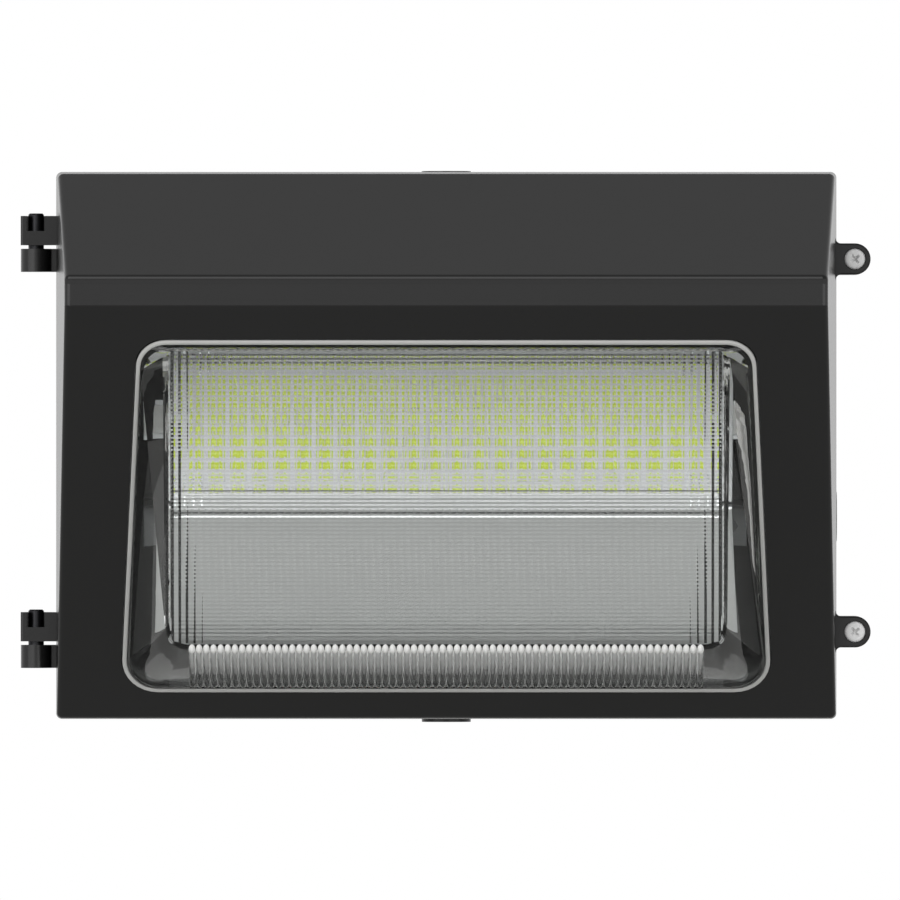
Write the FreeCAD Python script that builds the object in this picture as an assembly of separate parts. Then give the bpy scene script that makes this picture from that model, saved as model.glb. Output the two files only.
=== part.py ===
import FreeCAD, Part
import math
import os

# Wall pack light. Millimetres; X to the right as seen from the front, +Y towards the wall, +Z up.
# The origin is the middle of the wall fixing pattern, on the face that meets the wall.

V = FreeCAD.Vector

# Body outline
body_width = 331.0
body_height = 232.0
body_corner_r = 3.0
housing_depth = 75.0
seam_gap = 0.4

# Rear housing casting
housing_wall = 3.0
back_wall = 5.0
rim_width = 8.0
rim_depth = 7.0
groove_inset = 2.2
groove_width = 3.6
groove_depth = 3.0
gasket_side_clearance = 0.2
back_recess = 2.0
back_recess_inset = 12.0
back_pad_extra = 6.0
boss_r = 5.5
small_sides = 8
cut_over = 1.0
same_place = 1e-6

# Wall fixings
wall_hole_r = 3.5
wall_hole_spacing_x = 254.0
wall_hole_spacing_z = 152.0
box_hole_r = 2.4
box_hole_spacing = 88.9
entry_r = 11.1
entry_rim = 5.0
entry_rim_height = 3.0

# Threaded conduit plugs
plug_r = 10.45
plug_fit = 0.02
plug_boss_wall = 3.5
plug_boss_length = 12.0
plug_centre_y = -37.0
plug_slot_width = 2.0
plug_slot_length = 14.0
plug_slot_depth = 3.0
top_plug_proud = 0.7
bottom_plug_proud = 1.6
side_plug_proud = 0.6
side_plug_z = -30.2

# Front cover casting
cover_wall = 2.8
cover_reach = 112.6
brow_top_drop = 44.8
brow_height = 12.9
top_lip_depth = 22.0
bottom_lip_depth = 9.0
side_draft_deg = 2.54
cover_edge_r = 2.5
crease_height = 2.2
crease_depth = 1.2
cover_rim_depth = 6.0

# Hinge
hinge_axis_out = 8.5
hinge_barrel_r = 6.5
hinge_pin_r = 3.3
hinge_running_clearance = 0.08
hinge_pin_grip = 0.02
hinge_pin_proud = 1.1
hinge_pin_chamfer = 0.6
hinge_top_drop = 18.7
cover_knuckle_height = 12.4
knuckle_gap = 1.5
housing_knuckle_height = 9.8
hinge_bottom_rise = 21.6
hinge_slot_width = 7.8
hinge_slot_height = 6.4
knuckle_edge_r = 1.0
hinge_web_setback = 1.0

# Cover screws and their ears
screw_axis_out = 7.7
screw_drop = 37.0
ear_r = 6.64
ear_root_r = 2.1
ear_root_sink = 0.4
ear_edge = 0.7
lug_length = 17.0
screw_shank_r = 2.5
screw_head_r = 4.5
screw_head_height = 2.9
screw_head_round = 1.0
screw_engagement = 6.0
lug_hole_extra = 2.0
screw_hole_clearance = 0.15
screw_recess_clearance = 0.25
screw_recess_depth = 3.0
ear_web = 2.4
cross_recess_width = 1.1
cross_recess_span = 5.0
cross_recess_depth = 1.5
retainer_r = 3.9
retainer_thickness = 1.0
retainer_slide_clearance = 0.2
retainer_neck_r = 1.9
retainer_running_clearance = 0.05
retainer_rest_gap = 0.3
retainer_end_gap = 0.2

# Glass lens; heights are those seen from the front
lens_top_drop = 14.2
lens_bottom_rise = 11.6
lens_side_margin = 35.5
lens_side_flare = 7.9
lens_top_corner_r = 12.0
lens_bottom_corner_r = 16.0
lens_rim_proud = 0.8
glass = 4.0
flange_width = 6.0
flange_thickness = 4.5
panel_side_inset = 12.0
panel_top_inset = 3.6
panel_bottom_inset = 18.4
panel_stand = 3.5
panel_tilt_deg = 12.0
panel_top_corner_r = 3.0
panel_bottom_corner_r = 9.0
lens_corner_steps = 4
panel_least_corner_r = 1.0
flute_pitch = 3.02
flute_depth = 0.65
flute_skin = 0.02
ridge_band = 2.6
prism_pitch = 3.4
prism_depth = 0.8
prism_land = 0.1
prism_side_inset = 6.0
lens_opening_clearance = 0.5
lens_gasket_thickness = 2.0
lens_gasket_inset = 0.6

# Lens clips
clip_boss_r = 3.6
clip_boss_gap = 1.0
clip_grip = 4.0
clip_width = 9.0
clip_thickness = 1.2
clip_screw_r = 1.5
clip_screw_head_r = 2.7
clip_screw_head_height = 1.8
clip_screw_length = 5.0
clip_top_x = 70.0
clip_side_drops = (105.0,)

# LED module
board_side_inset = 1.0
board_height = 63.7
board_thickness = 1.6
board_front_y = -138.0
led_side_margin = 7.0
led_rows = 10
led_pitch_x = 4.5
led_pitch_z = 5.05
led_width = 2.8
led_height = 3.5
led_thickness = 0.7
led_centre_drop = 31.9
carrier_sheet = 2.5
carrier_bend_r = 2.0
carrier_overhang = 1.0
carrier_foot = 19.0
carrier_hole_inset = 8.0
carrier_post_length = 57.0
carrier_post_inset = 7.0
carrier_tab_width = 6.0
carrier_tab_height = 16.0
carrier_tab_lap = 2.0
small_screw_r = 2.0
small_screw_head_r = 3.6
small_screw_head_height = 2.4
small_screw_length = 9.0
board_screw_r = 1.5
board_screw_head_r = 2.6
board_screw_head_height = 1.7
board_screw_margin = 3.0
board_screw_inset = 7.0
fastener_clearance = 0.1
connector_width = 5.3
connector_height = 11.7
connector_depth = 4.0
connector_port_r = 1.0
connector_port_depth = 1.5
connector_gap = 0.55
connector_drop = 29.5

# Reflector
reflector_sheet = 1.0
reflector_bend_r = 1.0
reflector_lap = 10.0
reflector_bottom_drop = 2.0
reflector_bottom_y = -83.0
reflector_return = 8.0
reflector_screw_x = 70.0

# Driver
driver_length = 150.0
driver_width = 52.0
driver_height = 30.0
driver_corner_r = 3.0
driver_drop = 54.0
driver_pad_height = 4.0
driver_rib_count = 9
driver_rib_pitch = 5.0
driver_rib_width = 2.0
driver_rib_depth = 1.2
end_cap_thickness = 6.0
driver_foot_length = 12.0
driver_foot_thickness = 3.0
driver_foot_lap = 5.0

# Wiring
lead_r = 1.3
lead_sides = 6
lead_crimp = 0.4
lead_bend_share = 0.45
output_lead_drop = 6.0
output_lead_spacing = 8.0
supply_lead_spacing = 10.0
nut_r = 5.2
nut_tip_r = 3.4
nut_length = 22.0
nut_cover = 5.0
nut_fit = 0.05
ground_x = -62.0
ground_rise = 70.0
ground_boss_height = 6.0
ground_terminal_r = 4.6
ground_terminal_thickness = 0.8
ground_screw_end_gap = 1.0

# Lead routes, from the driver's ends to the board connectors and the wire connectors.
# The shares are of the room between a driver's end and the carrier's posts.
right_lead_share = 0.55
right_lead_bow = 2.0
right_lead_forward = 54.0
right_lead_lift = 3.0
right_lead_entry = 22.0
left_lead_share = 0.41
left_lead_first_x = 60.1
left_lead_first_forward = 48.0
left_lead_second_x = -50.0
left_lead_second_forward = 54.0
left_lead_lift = 1.0
left_lead_entry = 24.0
supply_end_rise = 50.0
line_lead_share = 0.41
line_lead_bow = 1.0
line_lead_first_forward = 2.0
line_lead_first_rise = 106.0
line_lead_second_x = -50.0
line_lead_second_forward = 4.0
line_lead_second_rise = 72.0
line_lead_end_x = -40.0
neutral_lead_share = 0.59
neutral_lead_bow = 1.0
neutral_lead_first_forward = 8.0
neutral_lead_first_rise = 102.0
neutral_lead_second_x = -32.0
neutral_lead_second_forward = 14.0
neutral_lead_second_rise = 66.0
neutral_lead_end_x = -22.0
neutral_lead_end_forward = 2.0
ground_lead_first_run = 22.0
ground_lead_first_lift = 2.0
ground_lead_second_run = 48.0
ground_lead_second_lift = 6.0
ground_lead_end_run = 58.0

half_width = body_width / 2
half_height = body_height / 2
seam_y = -housing_depth
cover_back_y = seam_y - seam_gap
hinge_y = seam_y - seam_gap / 2
retainer_room = retainer_rest_gap + retainer_thickness + 2 * retainer_running_clearance + retainer_end_gap
ear_thickness = screw_recess_depth + ear_web + screw_engagement + retainer_room
draft = math.tan(math.radians(side_draft_deg))

# Places that follow the body's outline
brow_top_z = half_height - brow_top_drop
brow_bottom_z = brow_top_z - brow_height
hinge_axis_x = -half_width - hinge_axis_out
hinge_top_z = half_height - hinge_top_drop
hinge_stack = cover_knuckle_height + knuckle_gap + housing_knuckle_height
hinge_spacing = hinge_top_z + half_height - hinge_bottom_rise - hinge_stack
screw_x = half_width + screw_axis_out
screw_z = half_height - screw_drop
lens_top_z = brow_bottom_z - lens_top_drop
lens_bottom_z = lens_bottom_rise - half_height
lens_top_half_width = half_width - lens_side_margin
lens_bottom_half_width = lens_top_half_width + lens_side_flare
panel_half_width = lens_top_half_width - panel_side_inset
panel_top_z = lens_top_z - panel_top_inset
panel_bottom_z = lens_bottom_z + panel_bottom_inset
prism_half_width = panel_half_width - prism_side_inset
board_half_width = panel_half_width - board_side_inset
board_top_z = panel_top_z
board_bottom_z = board_top_z - board_height
board_screw_x = board_half_width - board_screw_inset
carrier_post_x = board_half_width - carrier_post_inset
led_centre_z = board_top_z - led_centre_drop
connector_x = board_half_width + connector_gap + connector_width / 2
connector_z = board_top_z - connector_drop
reflector_bottom_z = panel_bottom_z - reflector_bottom_drop
driver_z = half_height - driver_drop
output_lead_z = driver_z - output_lead_drop
supply_end_z = supply_end_rise - half_height
ground_z = ground_rise - half_height

# How many packages fit a row of the board, and how many flutes fit the glass
led_columns = int(2 * (board_half_width - led_side_margin) / led_pitch_x) + 1
flute_count = int(2 * panel_half_width / flute_pitch)
bottom_flute_count = int(2 * (panel_half_width - panel_bottom_corner_r) / flute_pitch)


# Shared helpers

def save(shape, node):
    shape.exportStep("parts/" + node + ".step")


def unit(vector):
    return vector / vector.Length


def joined(solids):
    return solids[0].multiFuse(solids[1:]) if len(solids) > 1 else solids[0]


def rounded_wire(corners, radii, place):
    """Closed outline through flat corners (a, b), each rounded by a tangent arc; place sets it in space."""
    points = [V(a, b, 0) for a, b in corners]
    count = len(points)
    bends = []
    for i in range(count):
        here = points[i]
        to_before = unit(points[i - 1] - here)
        to_after = unit(points[(i + 1) % count] - here)
        half = to_before.getAngle(to_after) / 2
        reach = radii[i] / math.tan(half)
        middle = here + unit(to_before + to_after) * (radii[i] / math.sin(half) - radii[i])
        bends.append((here + to_before * reach, middle, here + to_after * reach))
    edges = []
    for i in range(count):
        start, middle, end = bends[i]
        if radii[i] > 0:
            edges.append(Part.Arc(place(start), place(middle), place(end)).toShape())
        following = bends[(i + 1) % count][0]
        edges.append(Part.LineSegment(place(end), place(following)).toShape())
    return Part.Wire(edges)


def rounded_loop(corners, radii, steps, place):
    """The same outline as a list of points, each corner turned in a few straight steps."""
    points = [V(a, b, 0) for a, b in corners]
    count = len(points)
    loop = []
    for i in range(count):
        here = points[i]
        to_before = unit(points[i - 1] - here)
        to_after = unit(points[(i + 1) % count] - here)
        half = to_before.getAngle(to_after) / 2
        centre = here + unit(to_before + to_after) * (radii[i] / math.sin(half))
        start = here + to_before * (radii[i] / math.tan(half)) - centre
        first = math.atan2(start.y, start.x)
        for step in range(steps + 1):
            turn = first + (math.pi - 2 * half) * step / steps
            loop.append(place(centre + V(radii[i] * math.cos(turn), radii[i] * math.sin(turn), 0)))
    return loop


def quad_loops(a, b, c, d):
    """Loops that cover a four-sided patch: one if it is flat, else two that meet in an outward crease."""
    normal = unit((b - a).cross(c - a))
    lift = normal.dot(d - a)
    if abs(lift) < same_place:
        return [[a, b, c, d]]
    if lift < 0:
        return [[a, b, c], [a, c, d]]
    return [[b, c, d], [b, d, a]]


def faceted_solid(lower, upper):
    """Solid between two flat loops of as many points, with flat facets round its side."""
    loops = [lower, upper]
    for i in range(len(lower)):
        j = (i + 1) % len(lower)
        loops += quad_loops(lower[i], lower[j], upper[j], upper[i])
    skin = Part.makeCompound([Part.Face(Part.makePolygon(loop + loop[:1])) for loop in loops])
    skin.sewShape()
    solid = Part.Solid(skin.Shells[0])
    if solid.Volume < 0:
        solid.reverse()
    return solid


def front_plane(y):
    return lambda point: V(point.x, y, point.y)


def side_plane(x):
    return lambda point: V(x, point.x, point.y)


def prism(wire, direction):
    return Part.Face(wire).extrude(direction)


def body_block(inset, y_back, y_front):
    """Block of the body's outline moved inwards by inset, its corners rounded."""
    x = half_width - inset
    z = half_height - inset
    corners = [(-x, -z), (x, -z), (x, z), (-x, z)]
    outline = rounded_wire(corners, [body_corner_r] * 4, front_plane(y_back))
    return prism(outline, V(0, y_front - y_back, 0))


def inner_block(inset, y_back, y_front):
    """Sharp-cornered block inside the body's outline."""
    x = half_width - inset
    z = half_height - inset
    return box(-x, x, y_front, y_back, -z, z)


def post(x, z, r, y_back, y_front):
    """Round bar that runs forward from y_back to y_front."""
    return Part.makeCylinder(r, y_back - y_front, V(x, y_back, z), V(0, -1, 0))


def box(x_low, x_high, y_low, y_high, z_low, z_high):
    return Part.makeBox(x_high - x_low, y_high - y_low, z_high - z_low, V(x_low, y_low, z_low))


def offset_polygon(points, distances):
    """Moves each side of a counter-clockwise polygon inwards by its own distance."""
    count = len(points)
    lines = []
    for i in range(count):
        start = V(points[i][0], points[i][1], 0)
        end = V(points[(i + 1) % count][0], points[(i + 1) % count][1], 0)
        along = unit(end - start)
        inward = V(-along.y, along.x, 0)
        lines.append((start + inward * distances[i], along))
    moved = []
    for i in range(count):
        p, d = lines[i - 1]
        q, e = lines[i]
        t = ((q.x - p.x) * e.y - (q.y - p.y) * e.x) / (d.x * e.y - d.y * e.x)
        crossing = p + d * t
        moved.append((crossing.x, crossing.y))
    return moved


def sheet_outline(path, thickness, bend_r):
    """Corners and radii of a bent sheet whose right-hand side follows the path."""
    points = [V(a, b, 0) for a, b in path]
    left = []
    turns = []
    for i, here in enumerate(points):
        before = unit(here - points[i - 1]) if i > 0 else unit(points[1] - here)
        after = unit(points[i + 1] - here) if i + 1 < len(points) else before
        across = unit(V(-before.y - after.y, before.x + after.x, 0))
        left.append(here + across * (thickness / across.dot(V(-before.y, before.x, 0))))
        turns.append(before.x * after.y - before.y * after.x)
    ends = (0, len(points) - 1)
    right_radii = []
    left_radii = []
    for i, turn in enumerate(turns):
        outer = 0 if i in ends else bend_r + thickness
        inner = 0 if i in ends else bend_r
        right_radii.append(outer if turn > 0 else inner)
        left_radii.append(inner if turn > 0 else outer)
    corners = [(p.x, p.y) for p in points] + [(p.x, p.y) for p in reversed(left)]
    return corners, right_radii + left_radii[::-1]


def bent_sheet(path, thickness, bend_r, half_x):
    """Sheet bent along a path of (y, z) points and as wide as twice half_x."""
    corners, radii = sheet_outline(path, thickness, bend_r)
    return prism(rounded_wire(corners, radii, side_plane(-half_x)), V(2 * half_x, 0, 0))


def regular_outline(centre, direction, r, sides):
    """Regular polygon across a direction, its corners on a circle of radius r."""
    reference = V(1, 0, 0) if abs(unit(direction).x) < 0.9 else V(0, 1, 0)
    first = unit(direction.cross(reference))
    second = unit(direction.cross(first))
    points = []
    for i in range(sides + 1):
        turn = 2 * math.pi * (i + 0.5) / sides
        points.append(centre + first * (r * math.cos(turn)) + second * (r * math.sin(turn)))
    return Part.makePolygon(points)


def small_bar(start, direction, r, length, sides=small_sides):
    """Shank or hole of a small fastener."""
    return prism(regular_outline(start, direction, r, sides), unit(direction) * length)


def plain_screw(seat, outward, shank_r, length, head_r, head_height):
    """Hexagon head screw whose head rests on seat and whose shank runs the other way."""
    head = small_bar(seat, outward, head_r, head_height, 6)
    return head.fuse(small_bar(seat, outward * -1, shank_r, length))


def small_post(x, z, r, y_back, y_front):
    """Boss of, or hole for, a small fastener that runs forward from y_back to y_front."""
    return small_bar(V(x, y_back, z), V(0, -1, 0), r, y_back - y_front)


def lead(points, r):
    """Six-sided lead along straight runs joined by arcs as large as the runs allow."""
    edges = []
    start = points[0]
    for i in range(1, len(points) - 1):
        here = points[i]
        back = points[i - 1] - here
        on = points[i + 1] - here
        half = unit(back).getAngle(unit(on)) / 2
        reach = lead_bend_share * min(back.Length, on.Length)
        bend_r = reach * math.tan(half)
        into = here + unit(back) * reach
        out = here + unit(on) * reach
        middle = here + unit(unit(back) + unit(on)) * (bend_r / math.sin(half) - bend_r)
        edges.append(Part.LineSegment(start, into).toShape())
        edges.append(Part.Arc(into, middle, out).toShape())
        start = out
    edges.append(Part.LineSegment(start, points[-1]).toShape())
    section = regular_outline(points[0], points[1] - points[0], r, lead_sides)
    return Part.Wire(edges).makePipeShell([section], True, False)


# Sloping face of the cover: its own frame, with the origin at the lower edge of the brow

face_drop_y = cover_reach - bottom_lip_depth
face_bottom_z = -half_height + bottom_lip_depth * draft
face_angle = math.atan2(face_drop_y, brow_bottom_z - face_bottom_z)
face_origin = V(0, cover_back_y - cover_reach, brow_bottom_z)
face_up = V(0, -math.sin(face_angle), math.cos(face_angle))
face_out = V(0, -math.cos(face_angle), -math.sin(face_angle))


def face_plane(out):
    """Places flat points (x, distance up the slope) at a height over the sloping face."""
    return lambda point: face_origin + V(point.x, 0, 0) + face_up * point.y + face_out * out


def up_slope(z):
    return (z - brow_bottom_z) / math.cos(face_angle)


# Rear housing

def conduit_plugs_layout():
    """Name, centre on the outer wall, outward direction and height of each plug."""
    return [
        ("conduit_plug_top", V(0, plug_centre_y, half_height), V(0, 0, 1), top_plug_proud),
        ("conduit_plug_bottom", V(0, plug_centre_y, -half_height), V(0, 0, -1), bottom_plug_proud),
        ("conduit_plug_side", V(half_width, plug_centre_y, side_plug_z), V(1, 0, 0), side_plug_proud),
    ]


plug_boss_end = housing_wall + plug_boss_length
carrier_foot_y = -(back_wall + carrier_post_length)
carrier_top_z = board_top_z + carrier_overhang - carrier_sheet
carrier_bottom_z = board_bottom_z - carrier_overhang + carrier_sheet
carrier_post_top_z = carrier_top_z + carrier_foot - carrier_hole_inset
carrier_post_bottom_z = carrier_bottom_z - carrier_foot + carrier_hole_inset
carrier_post_points = [
    (side * carrier_post_x, z) for side in (-1, 1) for z in (carrier_post_top_z, carrier_post_bottom_z)
]
driver_end_x = driver_length / 2 + end_cap_thickness
lead_room = carrier_post_x - driver_end_x
driver_back_y = -(back_wall + driver_pad_height)
driver_screw_points = [(side * (driver_end_x + driver_foot_length / 2), driver_z) for side in (-1, 1)]
wall_hole_points = [
    (sx * wall_hole_spacing_x / 2, sz * wall_hole_spacing_z / 2) for sx in (-1, 1) for sz in (-1, 1)
]
box_hole_points = [(sx * box_hole_spacing / 2, 0.0) for sx in (-1, 1)]
screw_centres = [screw_z, -screw_z]
hinge_tops = [hinge_top_z, hinge_top_z - hinge_spacing]


def ear_outline(z, y):
    """Round-ended ear seen from the front, flared where it leaves the side wall."""
    root_x = half_width - ear_root_sink
    inner_x = half_width - housing_wall / 2
    flare = ear_root_r
    cut = flare * (1 - math.sqrt(0.5))
    p = front_plane(y)
    top = z + ear_r
    low = z - ear_r
    edges = [
        Part.LineSegment(p(V(inner_x, top + flare, 0)), p(V(root_x, top + flare, 0))),
        Part.Arc(
            p(V(root_x, top + flare, 0)),
            p(V(root_x + cut, top + cut, 0)),
            p(V(root_x + flare, top, 0)),
        ),
        Part.LineSegment(p(V(root_x + flare, top, 0)), p(V(screw_x, top, 0))),
        Part.Arc(p(V(screw_x, top, 0)), p(V(screw_x + ear_r, z, 0)), p(V(screw_x, low, 0))),
        Part.LineSegment(p(V(screw_x, low, 0)), p(V(root_x + flare, low, 0))),
        Part.Arc(
            p(V(root_x + flare, low, 0)),
            p(V(root_x + cut, low - cut, 0)),
            p(V(root_x, low - flare, 0)),
        ),
        Part.LineSegment(p(V(root_x, low - flare, 0)), p(V(inner_x, low - flare, 0))),
        Part.LineSegment(p(V(inner_x, low - flare, 0)), p(V(inner_x, top + flare, 0))),
    ]
    return Part.Wire([edge.toShape() for edge in edges])


def housing_shell():
    shell = body_block(0, 0, seam_y)
    shell = shell.cut(inner_block(housing_wall, -back_wall, seam_y + rim_depth))
    shell = shell.cut(inner_block(rim_width, seam_y + rim_depth, seam_y))
    groove = inner_block(groove_inset, seam_y + groove_depth, seam_y)
    return shell.cut(groove.cut(inner_block(groove_inset + groove_width, seam_y + groove_depth, seam_y)))


def back_pocket():
    """Shallow pocket in the wall face that leaves a rim, a pad at each wall hole and a middle bar."""
    pocket = inner_block(back_recess_inset, 0, -back_recess)
    pad = wall_hole_r + back_pad_extra
    pads = [box(x - pad, x + pad, -back_recess, 0, z - pad, z + pad) for x, z in wall_hole_points]
    bar_x = box_hole_spacing / 2 + box_hole_r + back_pad_extra
    bar_z = entry_r + back_pad_extra
    pads.append(box(-bar_x, bar_x, -back_recess, 0, -bar_z, bar_z))
    return pocket.cut(pads)


def housing_knuckle(top_z):
    low_z = top_z - hinge_stack
    barrel = Part.makeCylinder(hinge_barrel_r, housing_knuckle_height, V(hinge_axis_x, hinge_y, low_z))
    web = box(
        hinge_axis_x,
        -half_width + housing_wall / 2,
        hinge_y + hinge_web_setback,
        hinge_y + hinge_barrel_r,
        low_z,
        low_z + housing_knuckle_height,
    )
    return barrel.fuse(web)


def rear_housing():
    added = [housing_shell()]
    for _, centre, outward, _ in conduit_plugs_layout():
        start = centre - outward * plug_boss_end
        added.append(small_bar(start, outward, plug_r + plug_boss_wall, plug_boss_end - housing_wall / 2))
    root_y = -back_wall / 2
    added += [small_post(x, z, boss_r, root_y, carrier_foot_y) for x, z in carrier_post_points]
    added += [small_post(x, z, boss_r, root_y, driver_back_y) for x, z in driver_screw_points]
    added.append(small_post(0, 0, entry_r + entry_rim, root_y, -back_wall - entry_rim_height))
    added.append(small_post(ground_x, ground_z, boss_r, root_y, -back_wall - ground_boss_height))
    added += [prism(ear_outline(z, seam_y), V(0, lug_length, 0)) for z in screw_centres]
    added += [housing_knuckle(z) for z in hinge_tops]
    housing = joined(added)
    cuts = [back_pocket()]
    for _, centre, outward, _ in conduit_plugs_layout():
        start = centre - outward * plug_boss_end
        cuts.append(Part.makeCylinder(plug_r + plug_fit, plug_boss_end + cut_over, start, outward))
    cuts += [post(x, z, wall_hole_r, cut_over, -back_wall - cut_over) for x, z in wall_hole_points]
    cuts += [post(x, z, box_hole_r, cut_over, -back_wall - cut_over) for x, z in box_hole_points]
    cuts.append(post(0, 0, entry_r, cut_over, -back_wall - entry_rim_height - cut_over))
    tapped_r = small_screw_r + fastener_clearance
    tapped = small_screw_length
    for x, z in carrier_post_points:
        cuts.append(small_post(x, z, tapped_r, carrier_foot_y + tapped, carrier_foot_y))
    driver_tap = driver_pad_height + back_wall / 2
    for x, z in driver_screw_points:
        cuts.append(small_post(x, z, tapped_r, driver_back_y + driver_tap, driver_back_y))
    ground_face = -back_wall - ground_boss_height
    cuts.append(small_post(ground_x, ground_z, tapped_r, ground_face + ground_boss_height, ground_face))
    lug_hole_r = screw_shank_r + screw_hole_clearance
    lug_hole = screw_engagement + lug_hole_extra
    cuts += [post(screw_x, z, lug_hole_r, seam_y + lug_hole, seam_y) for z in screw_centres]
    pin_bore_start = V(hinge_axis_x, hinge_y, -half_height)
    cuts.append(Part.makeCylinder(hinge_pin_r + hinge_pin_grip, body_height, pin_bore_start))
    return housing.cut(cuts)


def conduit_plug(centre, outward, proud):
    """Plug with a screwdriver slot across its outer end."""
    plug = Part.makeCylinder(plug_r, plug_boss_end + proud, centre - outward * plug_boss_end, outward)
    end = centre + outward * proud
    across = V(0, plug_slot_width / 2, 0)
    along = outward.cross(V(0, 1, 0)) * (plug_slot_length / 2)
    corners = [end - along - across, end + along - across, end + along + across, end - along + across]
    slot = prism(Part.makePolygon(corners + corners[:1]), outward * -plug_slot_depth)
    return plug.cut(slot)


def door_gasket():
    inset = groove_inset + gasket_side_clearance
    width = groove_width - 2 * gasket_side_clearance
    outer = inner_block(inset, seam_y + groove_depth, cover_back_y)
    return outer.cut(inner_block(inset + width, seam_y + groove_depth, cover_back_y))


def hinge_pin(top_z):
    low_z = top_z - hinge_stack
    length = top_z + hinge_pin_proud - low_z
    pin = Part.makeCylinder(hinge_pin_r, length, V(hinge_axis_x, hinge_y, low_z))
    crown = [e for e in pin.Edges if abs(e.CenterOfMass.z - low_z - length) < same_place]
    return pin.makeChamfer(hinge_pin_chamfer, crown)


# Front cover

def cover_profile(inset):
    """Side view (y, z) of the cover, its open back on the seam, moved inwards by inset."""
    front_y = cover_back_y - cover_reach
    corners = [
        (cover_back_y, half_height),
        (cover_back_y - top_lip_depth, half_height - top_lip_depth * draft),
        (front_y, brow_top_z),
        (front_y, brow_bottom_z),
        (cover_back_y - bottom_lip_depth, face_bottom_z),
        (cover_back_y, -half_height),
    ]
    return offset_polygon(corners, [inset] * 5 + [0.0])


def cover_form(inset):
    """Wedge between the drafted sides."""
    profile = cover_profile(inset)
    wire = Part.makePolygon([V(-half_width, y, z) for y, z in profile + profile[:1]])
    wedge = prism(wire, V(body_width, 0, 0))
    half = half_width - inset / math.cos(math.radians(side_draft_deg))
    far_y = cover_back_y - cover_reach
    far_half = half - cover_reach * draft
    plan = [(-half, cover_back_y), (half, cover_back_y), (far_half, far_y), (-far_half, far_y)]
    sides = Part.makePolygon([V(x, y, -half_height) for x, y in plan + plan[:1]])
    return wedge.common(prism(sides, V(0, 0, body_height)))


def cover_outer():
    crease_top_z = brow_top_z - crease_height / 2
    form = cover_form(0.0)
    edges = []
    for edge in form.Edges:
        if not all(abs(v.Point.y - cover_back_y) < same_place for v in edge.Vertexes):
            edges.append(edge)
    form = form.makeFillet(cover_edge_r, edges)
    crease = box(
        -half_width,
        half_width,
        cover_back_y - cover_reach - cut_over,
        cover_back_y - cover_reach + crease_depth,
        crease_top_z - crease_height,
        crease_top_z,
    )
    return form.cut(crease)


def lens_corners(grow):
    """Corners and radii of the lens where it passes the face, a trapezoid grown by an amount all round."""
    top = up_slope(lens_top_z)
    bottom = up_slope(lens_bottom_z)
    corners = [
        (-lens_bottom_half_width, bottom),
        (lens_bottom_half_width, bottom),
        (lens_top_half_width, top),
        (-lens_top_half_width, top),
    ]
    radii = [lens_bottom_corner_r, lens_bottom_corner_r, lens_top_corner_r, lens_top_corner_r]
    return offset_polygon(corners, [-grow] * 4), [r + grow for r in radii]


def lens_prism(grow, low, high):
    """Solid of the grown lens outline between two heights over the sloping face."""
    corners, radii = lens_corners(grow)
    return prism(rounded_wire(corners, radii, face_plane(low)), face_out * (high - low))


def lens_loop(grow, out):
    """The grown lens outline as the glass has it, its corners in short flat steps."""
    corners, radii = lens_corners(grow)
    return rounded_loop(corners, radii, lens_corner_steps, face_plane(out))


flange_front = -(cover_wall + lens_gasket_thickness)
flange_back = flange_front - flange_thickness


def lens_half_width(slope):
    top = up_slope(lens_top_z)
    bottom = up_slope(lens_bottom_z)
    share = (slope - bottom) / (top - bottom)
    return lens_bottom_half_width + (lens_top_half_width - lens_bottom_half_width) * share


def clip_layout():
    """Boss centre on the face and the direction from it to the glass, for each lens clip."""
    reach = flange_width + clip_boss_gap + clip_boss_r
    places = []
    for side in (-1, 1):
        places.append((side * clip_top_x, up_slope(lens_top_z) + reach, 0.0, -1.0))
        for drop in clip_side_drops:
            places.append((side * (lens_half_width(-drop) + reach), -drop, -side, 0.0))
    return places


def on_face(a, b, out):
    return face_plane(out)(V(a, b, 0))


def cover_knuckle(top_z):
    low_z = top_z - cover_knuckle_height
    barrel = Part.makeCylinder(hinge_barrel_r, cover_knuckle_height, V(hinge_axis_x, hinge_y, low_z))
    block = box(
        hinge_axis_x - hinge_barrel_r,
        -half_width + cover_wall / 2,
        hinge_y - hinge_barrel_r,
        hinge_y,
        low_z,
        top_z,
    )
    outer = [
        e
        for e in block.Edges
        if abs(e.CenterOfMass.x - hinge_axis_x + hinge_barrel_r) < same_place
        and abs(e.CenterOfMass.y - hinge_y + hinge_barrel_r) < same_place
    ]
    knuckle = barrel.fuse(block.makeFillet(knuckle_edge_r, outer))
    slot = box(
        hinge_axis_x - hinge_slot_width / 2,
        hinge_axis_x + hinge_slot_width / 2,
        hinge_y - hinge_barrel_r - cut_over,
        hinge_y,
        top_z - hinge_slot_height,
        top_z + cut_over,
    )
    return knuckle.cut(slot)


def cover_ear(z):
    ear = prism(ear_outline(z, cover_back_y), V(0, -ear_thickness, 0))
    front_y = cover_back_y - ear_thickness
    edges = []
    for edge in ear.Edges:
        if abs(edge.CenterOfMass.y - front_y) < same_place and edge.CenterOfMass.x > half_width:
            edges.append(edge)
    return ear.makeChamfer(ear_edge, edges)


screw_seat_y = cover_back_y - ear_thickness + screw_recess_depth
retainer_room_front_y = screw_seat_y + ear_web


def ear_bores(z):
    """Recess of the screw head, hole of its shank and room of its retaining ring."""
    ear_front_y = screw_seat_y - screw_recess_depth
    recess = post(screw_x, z, screw_head_r + screw_recess_clearance, screw_seat_y, ear_front_y)
    through = post(screw_x, z, screw_shank_r + screw_hole_clearance, cover_back_y, screw_seat_y)
    room = post(screw_x, z, retainer_r + retainer_slide_clearance, cover_back_y, retainer_room_front_y)
    return [recess, through, room]


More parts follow.
